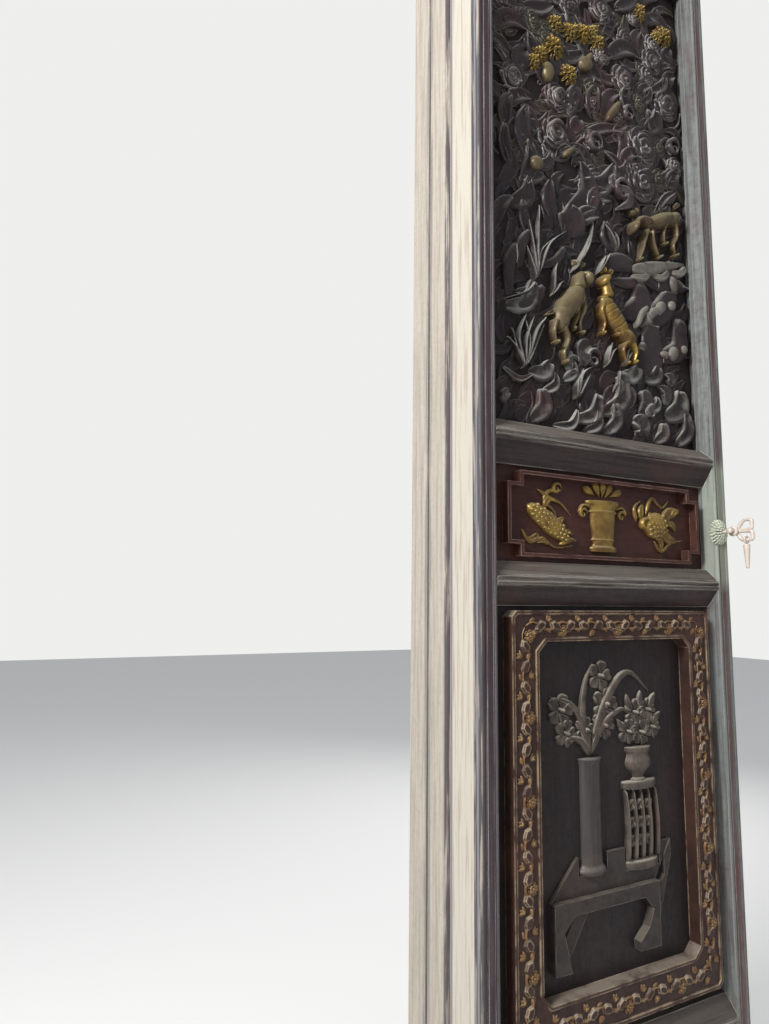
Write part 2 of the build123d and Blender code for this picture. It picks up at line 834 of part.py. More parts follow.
# Bottom strip reliefs: a rock with flowers, a footed basin and three scrolls
with BuildPart() as rock_relief:
    add(mound(board_depth, 175, 136, 110, 46, 0, small_relief_height))
    add(mound(board_depth, 158, 176, 56, 44, 20, small_relief_height))
    add(mound(board_depth, 198, 168, 50, 48, -30, small_relief_height * 0.8))
    add(blossom(board_depth, 176, 212, 24, 5, 8))
finish(rock_relief.part, "rock_relief")

basin_centre = 311.0
with BuildPart() as basin_relief:
    add(half_vessel(basin_centre, ((112, 30), (120, 22), (134, 34), (168, 62), (176, 62)), 0.22))
    for side in (-1, 0, 1):
        add(mound(board_depth, basin_centre + side * 32, 196, 34, 44, 0, 9))
finish(basin_relief.part, "basin_relief")

with BuildPart() as scroll_relief:
    for run, rise in ((425, 168), (458, 176), (492, 168)):
        add(limb(board_depth, (run + 6, rise - 59), (run - 6, rise + 59), 30, 30, 10))
    add(mound(board_depth, 458, 112, 100, 20, 0, 12))
finish(scroll_relief.part, "scroll_relief")

# Still life of the lower field, standing on the board inside the carved border
tall_vase_centre = 262.0
with BuildPart() as tall_vase_relief:
    add(half_vessel(tall_vase_centre, ((600, 30), (606, 34), (616, 27), (786, 28), (799, 31)), 0.62))
finish(tall_vase_relief.part, "tall_vase_relief")

bouquet_foot = (262.0, 804.0)
with BuildPart() as bouquet_relief:
    for pull, tip in (((258, 925), (170, 916)), ((232, 900), (282, 966)), ((320, 990), (424, 910))):
        add(band(board_depth, bend(bouquet_foot, pull, tip), 12, 8))
    for run, rise, radius in (
        (292, 944, 25), (195, 887, 26), (304, 894, 27), (208, 846, 22), (298, 856, 24), (252, 850, 20),
    ):
        add(blossom(board_depth, run, rise, radius, 5, 9))
finish(bouquet_relief.part, "bouquet_relief")

stool_centre = 385.0
stool_low = 592.0
stool_high = 748.0
stool_radius = 44.0
stool_hoop = 14.0
with BuildPart() as stool_relief:
    for low in (stool_low, stool_high - stool_hoop):
        add(half_vessel(stool_centre, ((low, stool_radius), (low + stool_hoop, stool_radius)), 0.4))
    for side in (-0.84, -0.28, 0.28, 0.84):
        post = stool_centre + side * stool_radius
        add(limb(board_depth, (post, stool_low + 2), (post, stool_high - 2), 12, 12, 12))
finish(stool_relief.part, "stool_relief")

table_left = 163.0
table_right = 417.0
table_back_left = 225.0
table_back_right = 458.0
table_top_low = 566.0
table_top_high = 632.0
table_apron = 24.0
table_foot = 452.0
table_leg = 37.0
table_knee = 16.0
with BuildPart() as table_relief:
    with BuildSketch(face(board_depth)):
        Polygon(
            (table_left, table_top_low),
            (table_right, table_top_low),
            (table_back_right, table_top_high),
            (table_back_left, table_top_high),
            align=None,
        )
    extrude(amount=6)
    with BuildSketch(face(board_depth)):
        Polygon(
            (table_left, table_top_low),
            (table_left, table_foot),
            (table_left + table_leg, table_foot),
            (table_left + table_leg - table_knee, table_top_low - 2 * table_apron),
            (table_left + table_leg + table_knee / 2, table_top_low - table_apron),
            (table_right - table_leg, table_top_low - table_apron),
            (table_right - table_knee, table_top_low - 2 * table_apron),
            (table_right - table_leg + table_knee / 2, table_foot + table_leg),
            (table_right - table_leg - table_knee, table_foot + table_knee),
            (table_right - table_leg - table_knee, table_foot),
            (table_right, table_foot),
            (table_right, table_top_low),
            align=None,
        )
    extrude(amount=still_life_height)
    with BuildSketch(face(board_depth)):
        Polygon((425, 497), (458, 600), (458, 632), (440, 606), (440, 570), (418, 540), align=None)
    extrude(amount=8)
    with BuildSketch(face(board_depth)):
        Polygon((184, 452), (200, 470), (248, 542), (218, 542), (184, 490), align=None)
    extrude(amount=8)
    for centre, low, radius in ((tall_vase_centre, 600, 34), (stool_centre, stool_low, stool_radius)):
        with BuildSketch(face(board_depth)):
            with Locations((centre, low + table_apron)):
                Rectangle(2 * radius + 1, 2 * table_apron + 1)
        extrude(amount=still_life_height + 1, mode=Mode.SUBTRACT)
finish(table_relief.part, "table_relief")

with BuildPart() as pot_relief:
    add(half_vessel(stool_centre, ((749, 20), (754, 14), (776, 32), (796, 28), (802, 33), (809, 33)), 0.55))
finish(pot_relief.part, "pot_relief")

with BuildPart() as pot_flowers_relief:
    for run, rise, radius in ((362, 836, 22), (396, 834, 24), (426, 842, 20), (382, 872, 24), (414, 878, 20)):
        add(blossom(board_depth, run, rise, radius, 5, 9))
    add(mound(board_depth, 394, 828, 76, 32, 0, 8))
finish(pot_flowers_relief.part, "pot_flowers_relief")

# Upper carving: deer, grasses, roses and rock lobes cut from one thick board
carving_ground = board_depth + carving_pocket


def deer(centre, turn, size, head, head_turn, feet):
    """The parts of a deer on the carving's ground: body, neck, head and a leg to each foot."""
    lean = radians(turn)
    ends = [
        (centre[0] + size * deer_half_length * way * cos(lean), centre[1] + size * deer_half_length * way * sin(lean))
        for way in (-1, 1)
    ]
    shoulder = min(ends, key=lambda end: hypot(end[0] - head[0], end[1] - head[1]))
    parts = [
        mound(carving_ground, *centre, 104 * size, 50 * size, turn, carving_height),
        limb(carving_ground, shoulder, head, 42 * size, 18 * size, carving_height * 0.95),
        mound(carving_ground, *head, 44 * size, 22 * size, head_turn, carving_height),
    ]
    for foot in feet:
        hip = min(ends, key=lambda end: hypot(end[0] - foot[0], end[1] - foot[1]))
        parts.append(limb(carving_ground, hip, foot, 26 * size, 9 * size, carving_height * 0.8))
    return parts


def tuft(foot, tips, width, height):
    """Blades of grass that fan out from a foot, each bowed outwards."""
    blades = []
    for run, rise in tips:
        pull = (foot[0] + (run - foot[0]) * 0.2, foot[1] + (rise - foot[1]) * 0.7)
        blades.append(band(carving_ground, bend(foot, pull, (run, rise)), width, height))
    return blades


forms = []
forms += deer((486, 1868), 28, 1.05, (414, 1856), 20, ((420, 1800), (448, 1822), (536, 1826), (552, 1840)))
forms += deer((226, 1646), 58, 0.95, (272, 1710), -60, ((206, 1550), (190, 1604), (250, 1572), (236, 1560)))
forms += deer((362, 1652), -48, 0.95, (330, 1728), 50, ((366, 1578), (412, 1596), (392, 1580), (318, 1610)))
for run, rise, length, width, turn in (
    (162, 1436, 74, 36, 35), (228, 1428, 84, 26, 22), (292, 1452, 72, 34, 42), (340, 1504, 110, 36, 62),
    (300, 1422, 60, 26, 25), (350, 1440, 62, 32, 62), (426, 1436, 60, 44, 10), (424, 1490, 30, 62, 0),
    (466, 1556, 62, 30, 35), (524, 1500, 72, 46, 48), (546, 1446, 70, 30, 52), (488, 1430, 50, 28, 30),
    (100, 1446, 46, 50, 0), (420, 1560, 62, 24, 22), (522, 1544, 40, 36, -40), (120, 1500, 96, 20, 14),
    (172, 1520, 62, 26, 30), (240, 1540, 60, 24, 62), (290, 1568, 66, 40, 20), (390, 1510, 40, 60, 12),
):
    forms.append(leaf(carving_ground, run, rise, 1.25 * length, width, turn, carving_height * 0.7))
for run, rise, length, width, turn in (
    (378, 1762, 90, 40, 12), (400, 1716, 84, 50, -20), (490, 1712, 130, 60, 30), (500, 1640, 120, 60, 40),
    (452, 1680, 84, 24, 52), (496, 1706, 44, 34, 50), (528, 1726, 36, 20, 25), (544, 1622, 56, 28, 40),
    (556, 1780, 40, 110, 8), (462, 1752, 60, 30, 0), (300, 1640, 50, 60, 20), (150, 1680, 84, 26, 40),
    (110, 1590, 40, 90, 10), (210, 1760, 70, 40, 30),
):
    forms.append(mound(carving_ground, run, rise, length, width, turn, carving_height * 0.6))
forms.append(limb(carving_ground, (372, 1784), (574, 1838), 26, 16, carving_height))
forms += tuft((142, 1684), ((70, 1640), (134, 1824), (210, 1820), (172, 1872), (112, 1780)), 11, carving_height * 0.6)
forms += tuft((240, 1724), ((312, 1868), (300, 1794), (350, 1800)), 12, carving_height * 0.6)
forms += tuft((120, 1510), ((150, 1620), (188, 1590), (104, 1612), (86, 1570)), 9, carving_height * 0.5)
forms += tuft((250, 1470), ((312, 1550), (332, 1536), (290, 1560)), 8, carving_height * 0.5)
for run, rise, length, width, turn in (
    (146, 1960, 110, 40, 96), (252, 1944, 130, 44, 74), (200, 1880, 90, 40, 80), (120, 1860, 90, 40, 60),
    (330, 1900, 90, 50, 30), (300, 1968, 96, 34, 32), (374, 1846, 80, 40, 40), (520, 1940, 110, 26, 46),
    (536, 2006, 96, 30, 40), (330, 2050, 140, 26, 34), (120, 2070, 96, 30, 24), (546, 2120, 60, 44, 50),
    (376, 2140, 90, 34, 56), (440, 2160, 80, 40, 10), (500, 2176, 70, 30, 66), (350, 2240, 90, 36, 52),
    (420, 2270, 96, 36, 46), (500, 2290, 110, 44, 30), (364, 2320, 96, 30, 70), (180, 2290, 90, 30, 30),
    (110, 2200, 96, 40, 20), (100, 2330, 84, 36, 70), (240, 2360, 100, 34, 30), (420, 2440, 90, 34, 20),
    (540, 2440, 70, 34, 80), (130, 2420, 90, 36, 30), (300, 2446, 90, 30, -20),
):
    forms.append(leaf(carving_ground, run, rise, length, width, turn, carving_height * 0.65))
for run, rise, radius, petals in (
    (221, 2020, 40, 6), (474, 1990, 46, 7), (474, 2078, 48, 7), (548, 2208, 36, 6), (400, 2214, 40, 6),
    (222, 2100, 34, 5), (206, 2204, 30, 9), (168, 2152, 26, 8), (214, 2264, 26, 9), (254, 2256, 24, 8),
    (296, 2274, 28, 9), (338, 2268, 26, 9), (258, 2166, 26, 8), (468, 2402, 30, 9), (546, 2374, 32, 9),
    (392, 1930, 34, 6), (300, 2190, 28, 5), (300, 2400, 36, 6), (190, 2370, 34, 6), (90, 2110, 34, 5),
):
    forms += blossom(carving_ground, run, rise, radius, petals, carving_height * 0.75)
with BuildPart() as upper_carving:
    add(board("upper_board", upper_field, carving_pocket))
    add(forms)
finish(upper_carving.part, "upper_carving")


# Pull: a domed boss cut as a flower, a forged eye through it, a bow of two loops and a hanging drop
boss_centre = leaf_width - boss_inset
with BuildPart() as boss_plate:
    for share, low, high in ((1.0, 0.0, 0.35), (0.78, 0.35, 0.7), (0.5, 0.7, 1.0)):
        ring = share * boss_radius
        with BuildSketch(face(-low * boss_height)):
            with Locations((boss_centre, boss_level)):
                Circle(ring * boss_web_share)
                with PolarLocations(ring * (1 - boss_petal_share), boss_petals):
                    Circle(ring * boss_petal_share)
        extrude(amount=(high - low) * boss_height)
    with BuildSketch(face()):
        with Locations((boss_centre, boss_level)):
            Circle(eye_shank_radius + fit_gap)
    extrude(amount=boss_height, mode=Mode.SUBTRACT)
finish(boss_plate.part, "boss_plate")

eye_x = eye_length - eye_ring_radius
eye_z = leaf_bottom + boss_level
with BuildPart() as pull_eye:
    with BuildSketch(face(eye_shank_bite)):
        with Locations((boss_centre, boss_level)):
            Circle(eye_shank_radius)
    extrude(amount=eye_shank_bite + eye_x - eye_ring_radius)
    with Locations(Location((eye_x, boss_centre, eye_z), (90, 0, 0))):
        Torus(eye_ring_radius, eye_rod_radius)
finish(pull_eye.part, "pull_eye")

# The bow: a stem with a button head through the eye, then an upper and a lower loop of one rod
stem_start = boss_centre - bow_stem_start
loop_plane = Plane(
    origin=(eye_x, stem_start + bow_stem_length - bow_rod_radius, eye_z), x_dir=(1, 0, 0), z_dir=(0, -1, 0)
)
with BuildPart() as pull_bow:
    with BuildSketch(Plane(origin=(eye_x, stem_start, eye_z), z_dir=(0, 1, 0))):
        Circle(bow_rod_radius)
    extrude(amount=bow_stem_length - bow_rod_radius)
    with BuildSketch(Plane(origin=(eye_x, stem_start, eye_z), z_dir=(0, 1, 0))):
        Circle(bow_head_radius)
    extrude(amount=bow_head_thickness)
    for loop in (bow_upper_loop, bow_lower_loop):
        with BuildLine(loop_plane) as course:
            FilletPolyline(*loop, radius=bow_loop_corner, close=True)
        with BuildSketch(Plane(course.line @ 0.5, z_dir=course.line % 0.5)):
            Circle(bow_rod_radius)
        sweep(path=course.line)
finish(pull_bow.part, "pull_bow")

drop_x = eye_x + drop_place
drop_y = loop_plane.origin.Y
drop_z = eye_z + bow_lower_loop[2][1]
with BuildPart() as pull_drop:
    with BuildSketch(Plane.XY.offset(drop_z - drop_length)):
        with Locations((drop_x, drop_y)):
            Circle(drop_tip_radius)
    with BuildSketch(Plane.XY.offset(drop_z)):
        with Locations((drop_x, drop_y)):
            Circle(drop_top_radius)
    loft()
    with BuildSketch(Plane(origin=(drop_x - drop_head_width / 2, drop_y, drop_z), z_dir=(1, 0, 0))):
        Circle(drop_head_radius)
    extrude(amount=drop_head_width)
    with BuildSketch(Plane(origin=(drop_x - drop_head_radius, drop_y, drop_z), z_dir=(1, 0, 0))):
        Circle(bow_rod_radius + link_clearance)
    extrude(amount=2 * drop_head_radius, mode=Mode.SUBTRACT)
finish(pull_drop.part, "pull_drop")
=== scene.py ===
"""Looks of a carved temple door: one leaf, open at a right angle, in its own frame.

The leaf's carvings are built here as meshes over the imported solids; woodwork and stone keep
their solids and get procedural finishes. Sizes are in millimetres on the leaf and are turned
into metres where a mesh is made.
"""
import json
import logging
import math
from dataclasses import dataclass, field
from enum import Enum
from typing import Iterable

import bpy
import numpy as np
from mathutils import Matrix, Vector


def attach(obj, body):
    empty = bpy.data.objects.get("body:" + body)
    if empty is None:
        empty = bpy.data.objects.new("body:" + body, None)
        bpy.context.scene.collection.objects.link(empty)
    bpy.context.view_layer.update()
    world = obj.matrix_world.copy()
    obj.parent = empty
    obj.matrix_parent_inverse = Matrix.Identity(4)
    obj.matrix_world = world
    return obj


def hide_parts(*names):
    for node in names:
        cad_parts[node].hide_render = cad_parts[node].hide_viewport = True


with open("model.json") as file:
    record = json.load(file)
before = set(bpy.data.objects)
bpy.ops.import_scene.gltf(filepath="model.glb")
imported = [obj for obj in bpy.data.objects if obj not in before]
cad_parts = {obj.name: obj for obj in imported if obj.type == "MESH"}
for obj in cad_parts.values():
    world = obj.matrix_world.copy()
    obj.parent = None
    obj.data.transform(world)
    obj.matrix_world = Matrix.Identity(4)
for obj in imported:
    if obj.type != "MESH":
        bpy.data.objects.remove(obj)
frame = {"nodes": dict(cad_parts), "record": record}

LOG = logging.getLogger("temple_door")
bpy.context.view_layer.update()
MM = 0.001
# The leaf's foot over the floor, how deep the boards and the upper carving's ground lie behind the
# leaf's face, and the camera's place, all in millimetres.
LEAF_BOTTOM = 167.0
BOARD_DEPTH = 32.0
CARVING_GROUND = 44.0
CAMERA_PLACE = (948.15, -682.7, 1250.7)
# How fine the three noises of a finish are: fibres along the grain, blotches and specks.
FIBRE_SCALE, BLOTCH_SCALE, SPECK_SCALE = 3.2, 7.0, 75.0
FIBRE_DETAIL, BLOTCH_DETAIL, SPECK_DETAIL = 9.0, 5.0, 4.0
NOISE_ROUGHNESS = 0.62
SPECK_SHARE = 0.6
# From which value of its noise a layer shows, and from which it shows in full.
STREAKS, STAINS, SPECKS, WEAR = (0.42, 0.62), (0.5, 0.68), (0.5, 0.66), (0.36, 0.5)
# The pale coat on upward faces is partly settled dirt and partly painted top light: the normal's slopes and
# the patches where it shows.
DUST_AND_TOP_LIGHT_SLOPES, DUST_AND_TOP_LIGHT_PATCHES = (0.12, 0.8), (0.25, 0.55)
SHARP_EDGES, EDGE_PATCHES = (0.02, 0.12), (0.4, 0.56)
SHEEN_SPREAD = 0.15
SPECULAR = 0.25
BUMP_DEPTH = 0.0016
BEVEL_SAMPLES = 3
# Shares of a form: how thin and how low its tip gets, how wide a vein is, how deep a rib's groove is,
# how round its cross-section is and what a hollow takes from that.
TIP_WIDTH, TIP_HEIGHT, VEIN_WIDTH, RIB_DEPTH, ROUNDNESS, HOLLOW_EDGE = 0.03, 0.15, 0.16, 0.10, 0.8, 0.4
# A petal in its ring: where its centre lies, its length, width, hollow and curl.
PETAL_CENTRE, PETAL_LENGTH, PETAL_WIDTH, PETAL_CUP, PETAL_CURL = 0.56, 0.95, 2.4, 0.62, 0.35
# A flower's rings: the room for its heart, the turn of each, the outer one's height, and what each
# further one gains in height and lift. Then the size and height of its button.
HEART_ROOM, RING_TURN, RING_HEIGHT, RING_GAIN, RING_LIFT = 0.6, 13, 0.62, 0.2, 2.0
BUTTON_SIZE, BUTTON_HEIGHT = 0.34, 1.05
# A rose: petals, reach and height of each ring, the turn of each, how far a petal runs on round the
# heart and turns in, its width, and the steps along it.
ROSE_RINGS = ((5, 0.8, 0.66), (3, 0.5, 0.84), (2, 0.2, 1.0))
ROSE_TURN, ROSE_WRAP, ROSE_INWARD, ROSE_WIDTH, ROSE_STEPS = 40, 1.25, 0.22, 0.46, 6
# A scroll: the steps in a turn, and how far it winds in.
SCROLL_STEPS, SCROLL_WIND = 10, 0.86
# A vessel: the steps in a section and round it, the depth of its flutes, and how small its ends are
# and how deep its edge lies in the ground.
VESSEL_STEPS, VESSEL_SIDES, FLUTE_DEPTH, VESSEL_END = 6, 29, 0.06, 0.5
# A heading that no rod starts with, the steps round an outline's corner, and a length next to nothing.
ROD_ASIDE = (0.3, 0.5, 0.8)
CORNER_STEPS = 7
TINY = 1e-9
# How deep a form's rim reaches into the ground under it, and how fine a restless ground is.
RIM_SINK = 1.5
SHEET_STEP = 6.0

Point = tuple[float, float]
Place = tuple[float, float, float]
Colour = tuple[float, float, float]
Source = bpy.types.NodeSocket | float | tuple


def linear(colour: Colour) -> tuple[float, ...]:
    """Linear colour, with full alpha, of a display colour given in 0 to 255."""
    return (*((c / 255 / 12.92 if c <= 10 else ((c / 255 + 0.055) / 1.055) ** 2.4) for c in colour), 1.0)


def around(run: float, rise: float, reach: float, degrees: float) -> Point:
    """The place that lies at a reach and an angle from another one."""
    return run + reach * math.cos(math.radians(degrees)), rise + reach * math.sin(math.radians(degrees))


def shown(name: str, data: bpy.types.ID) -> bpy.types.Object:
    """Put something new in the scene.

    Args:
        name: its name.
        data: its mesh, lamp or camera.

    Returns:
        The object.
    """
    made = bpy.data.objects.new(name, data)
    bpy.context.scene.collection.objects.link(made)
    return made


class Grain(Enum):
    """Which way the fibres of a finish run."""

    UPRIGHT = (40.0, 40.0, 1.6)
    LEVEL = (40.0, 1.8, 40.0)
    NONE = (9.0, 9.0, 9.0)


@dataclass(frozen=True)
class Zone:
    """A stretch of a piece with a colour laid over it, along one axis of the part, in metres: some zones hold
    the piece's own colour, others painted shade or painted light.
    """

    axis: int
    low: float
    high: float
    colour: Colour
    share: float = 0.9
    soft: float = 0.0006
    worn: bool = True


@dataclass(frozen=True)
class Graph:
    """The shader nodes of a material, and the steps that a finish is made of."""

    tree: bpy.types.NodeTree

    def node(self, kind: str, **sources: Source) -> bpy.types.Node:
        """Add a shader node.

        Args:
            kind: its type, without the prefix.
            sources: what its named sockets get, with _ for a space.

        Returns:
            The node.
        """
        made = self.tree.nodes.new(f"ShaderNode{kind}")
        for name, source in sources.items():
            self.feed(source, made.inputs[name.replace("_", " ")])
        return made

    def feed(self, source: Source, socket: bpy.types.NodeSocket) -> None:
        """Link a socket to another one, or set a plain value on it.

        Args:
            source: the other socket, or the value.
            socket: the socket that gets it.
        """
        if isinstance(source, bpy.types.NodeSocket):
            self.tree.links.new(source, socket)
        else:
            socket.default_value = source

    def sum(self, operation: str, first: Source, second: Source) -> bpy.types.NodeSocket:
        """Join two values.

        Args:
            operation: the math node's operation.
            first: the first value.
            second: the second value.

        Returns:
            The result's socket.
        """
        node = self.node("Math")
        node.operation = operation
        self.feed(first, node.inputs[0])
        self.feed(second, node.inputs[1])
        return node.outputs[0]

    def mix(self, share: Source, below: Source, above: Colour) -> bpy.types.NodeSocket:
        """Lay a colour over another one.

        Args:
            share: how much of the upper one shows.
            below: the lower colour.
            above: the upper one, as a display colour.

        Returns:
            The mixed colour's socket.
        """
        node = self.node("Mix")
        node.data_type = "RGBA"
        self.feed(share, node.inputs["Factor"])
        self.feed(below, node.inputs[6])
        self.feed(linear(above), node.inputs[7])
        return node.outputs[2]

    def ramp(self, value: Source, span: tuple[float, float], top: float = 1.0,
             bottom: float = 0.0) -> bpy.types.NodeSocket:
        """A value spread from a span between two limits to the range from bottom to top."""
        return self.node(
            "MapRange", Value=value, From_Min=span[0], From_Max=span[1], To_Min=bottom, To_Max=top
        ).outputs["Result"]

    def noise(self, place: Source, scale: float, detail: float) -> bpy.types.NodeSocket:
        """A noise value of a scale at a place."""
        return self.node(
            "TexNoise", Vector=place, Scale=scale, Detail=detail, Roughness=NOISE_ROUGHNESS
        ).outputs["Fac"]

    def zone(self, place: Source, zone: Zone, worn: Source, colour: Source) -> bpy.types.NodeSocket:
        """Lay a zone's colour over a colour.

        Args:
            place: the place on the piece.
            zone: the zone.
            worn: a noise value that breaks the zone's colour up in patches.
            colour: the colour below.

        Returns:
            The new colour's socket.
        """
        along = self.node("SeparateXYZ", Vector=place).outputs[zone.axis]
        inside = self.sum("MULTIPLY", self.ramp(along, (zone.low - zone.soft, zone.low)),
                          self.ramp(along, (zone.high + zone.soft, zone.high)))
        share = self.ramp(worn, WEAR, zone.share) if zone.worn else zone.share
        return self.mix(self.sum("MULTIPLY", inside, share), colour, zone.colour)

    def edges(self, normal: Source, radius: float) -> bpy.types.NodeSocket:
        """How near a place is to a sharp edge, from the turn of a rounded normal.

        Args:
            normal: the surface's normal.
            radius: how far from an edge the rounding starts, in metres.

        Returns:
            The turn's socket, 0 on a flat face.
        """
        bevel = self.node("Bevel", Radius=radius)
        bevel.samples = BEVEL_SAMPLES
        match = self.node("VectorMath")
        match.operation = "DOT_PRODUCT"
        self.feed(bevel.outputs[0], match.inputs[0])
        self.feed(normal, match.inputs[1])
        return self.sum("SUBTRACT", 1.0, match.outputs["Value"])


@dataclass(frozen=True)
class Finish:
    """A weathered procedural finish: a base colour, streaks along the grain, stains, a pale coat on upward
    faces that is partly settled dirt and partly painted top light, and edges that are partly rubbed wear and
    partly painted highlight.
    """

    name: str
    base: Colour
    streak: Colour
    stain: Colour
    # Colour of the pale coat on upward faces: partly settled dirt, partly painted top light.
    dust_and_top_light: Colour
    grain: Grain = Grain.NONE
    streak_share: float = 0.5
    stain_share: float = 0.3
    dust_and_top_light_share: float = 0.35
    # Edge colour: partly rubbed wear, partly painted highlight along the edges.
    edge: Colour | None = None
    edge_wear_and_highlight_share: float = 0.8
    edge_radius: float = 0.003
    roughness: float = 0.75
    metallic: float = 0.0
    bump: float = 0.35
    zones: tuple[Zone, ...] = ()

    def material(self) -> bpy.types.Material:
        """Build the finish's material, or give the one that exists.

        Returns:
            The material.
        """
        made = bpy.data.materials.get(f"{self.name}_finish")
        if made:
            return made
        made = bpy.data.materials.new(f"{self.name}_finish")
        made.use_nodes = True
        graph = Graph(made.node_tree)
        place = graph.node("TexCoord").outputs["Object"]
        normal = graph.node("NewGeometry").outputs["Normal"]
        grain = graph.node("Mapping", Vector=place, Scale=self.grain.value).outputs["Vector"]
        fibres = graph.noise(grain, FIBRE_SCALE, FIBRE_DETAIL)
        blotches = graph.noise(place, BLOTCH_SCALE, BLOTCH_DETAIL)
        specks = graph.noise(place, SPECK_SCALE, SPECK_DETAIL)
        colour = graph.mix(graph.ramp(fibres, STREAKS, self.streak_share), linear(self.base), self.streak)
        colour = graph.mix(graph.ramp(blotches, STAINS, self.stain_share), colour, self.stain)
        colour = graph.mix(graph.ramp(specks, SPECKS, self.stain_share * SPECK_SHARE), colour, self.streak)
        for zone in self.zones:
            colour = graph.zone(place, zone, fibres, colour)
        # Upward faces get the pale coat: settled dirt mixed with painted top light.
        upward = graph.node("SeparateXYZ", Vector=normal).outputs["Z"]
        dust_and_top_light_mask = graph.sum(
            "MULTIPLY", graph.ramp(upward, DUST_AND_TOP_LIGHT_SLOPES, self.dust_and_top_light_share), graph.ramp(fibres, DUST_AND_TOP_LIGHT_PATCHES)
        )
        colour = graph.mix(dust_and_top_light_mask, colour, self.dust_and_top_light)
        # Sharp edges take a colour that is partly rubbed wear and partly painted highlight.
        if self.edge:
            worn = graph.ramp(graph.edges(normal, self.edge_radius), SHARP_EDGES, self.edge_wear_and_highlight_share)
            colour = graph.mix(
                graph.sum("MULTIPLY", worn, graph.ramp(fibres, EDGE_PATCHES)), colour, self.edge
            )
        rough = graph.ramp(specks, (0.2, 0.8), min(self.roughness + SHEEN_SPREAD, 1.0),
                           max(self.roughness - SHEEN_SPREAD, 0.05))
        bump = graph.node(
            "Bump", Strength=self.bump, Distance=BUMP_DEPTH, Height=graph.sum("ADD", fibres, specks)
        )
        shader = made.node_tree.nodes["Principled BSDF"]
        for name, source in (("Base Color", colour), ("Roughness", rough), ("Metallic", self.metallic),
                             ("Specular IOR Level", SPECULAR), ("Normal", bump.outputs["Normal"])):
            graph.feed(source, shader.inputs[name])
        return made


STONE = Finish(
    "sill_stone", (158, 157, 146), (122, 123, 114), (112, 92, 84), (190, 188, 176), stain_share=0.45,
    roughness=0.85, bump=0.5
)
# Its zones are painted shade: grey in the jamb's groove, dark on its rounded corner next to the leaf.
PALE_WOOD = Finish(
    "pale_wood", (172, 164, 152), (136, 124, 116), (148, 150, 130), (200, 194, 180), grain=Grain.UPRIGHT,
    streak_share=0.6, stain_share=0.35, roughness=0.8, bump=0.8, edge=(206, 200, 186),
    zones=(Zone(0, -0.176, -0.160, (112, 108, 108), 0.75, 0.005),
           Zone(0, -0.112, -0.090, (70, 64, 68), 0.9, 0.003))
)
HEAD_PAINT = Finish(
    "head_paint", (98, 64, 56), (66, 44, 40), (128, 100, 86), (160, 138, 122), grain=Grain.LEVEL,
    streak_share=0.7, stain_share=0.5, edge=(156, 128, 108), roughness=0.65
)
IRON = Finish(
    "pivot_iron", (52, 48, 46), (84, 58, 42), (34, 32, 32), (90, 84, 78), metallic=0.8, roughness=0.55
)
LACQUER = Finish(
    "weathered_lacquer", (74, 65, 62), (48, 40, 39), (80, 44, 38), (150, 142, 130), grain=Grain.UPRIGHT,
    streak_share=0.8, stain_share=0.4, edge=(164, 160, 152), roughness=0.55, bump=0.5
)
# The light bluish zone 8.5 to 12.5 mm behind the face is a painted highlight on the rounded front arris.
HINGE_LACQUER = Finish(
    "hinge_stile_lacquer", (84, 72, 74), (52, 43, 45), (92, 54, 50), (170, 162, 150), grain=Grain.UPRIGHT,
    streak_share=0.8, stain_share=0.35, edge=(196, 192, 190), roughness=0.55, bump=0.6,
    zones=(Zone(1, -0.001, 0.0020, (158, 146, 134), 1.0, 0.0012, False),
           Zone(1, -0.001, 0.0020, (186, 180, 167), 0.85, 0.0012),
           Zone(0, -0.092, -0.086, (104, 98, 98), 0.8, 0.003, False),
           Zone(0, -0.0210, -0.0010, (62, 59, 64), 0.95, 0.0016),
           Zone(0, -0.0125, -0.0085, (132, 132, 138), 0.7, 0.0012),
           Zone(1, 0.0110, 0.0250, (64, 46, 50), 0.7, 0.001))
)
FREE_LACQUER = Finish(
    "free_stile_lacquer", (112, 116, 114), (66, 58, 58), (84, 48, 44), (176, 172, 160), grain=Grain.UPRIGHT,
    streak_share=0.75, stain_share=0.45, edge=(186, 190, 182), roughness=0.55, bump=0.5,
    zones=(Zone(1, 0.615, 0.6275, (96, 52, 50), 0.65, 0.001),
           Zone(2, 1.300, 1.525, (150, 158, 140), 0.6, 0.03))
)
RAIL_LACQUER = Finish(
    "rail_lacquer", (56, 46, 44), (34, 27, 27), (78, 42, 36), (168, 160, 148), grain=Grain.LEVEL,
    streak_share=0.7, stain_share=0.4, dust_and_top_light_share=0.36, edge=(188, 182, 172), edge_wear_and_highlight_share=0.95,
    edge_radius=0.004, roughness=0.45, bump=0.5
)
DARK_BOARD = Finish(
    "dark_board", (40, 34, 35), (26, 22, 23), (58, 42, 38), (86, 78, 72), grain=Grain.UPRIGHT,
    stain_share=0.5, roughness=0.5
)
RED_BOARD = Finish(
    "red_brown_board", (62, 33, 27), (40, 23, 21), (84, 52, 38), (120, 98, 82), grain=Grain.LEVEL,
    stain_share=0.45, roughness=0.45
)
RED_LINE = Finish(
    "red_brown_carving", (68, 41, 36), (44, 28, 26), (92, 62, 54), (164, 134, 120), edge=(176, 142, 126),
    edge_wear_and_highlight_share=0.7, stain_share=0.5, roughness=0.5
)
BORDER = Finish(
    "border_ground", (60, 41, 35), (38, 27, 25), (84, 57, 46), (150, 138, 124), edge=(190, 166, 136),
    edge_wear_and_highlight_share=0.85, edge_radius=0.004, dust_and_top_light_share=0.75, stain_share=0.5, roughness=0.5
)
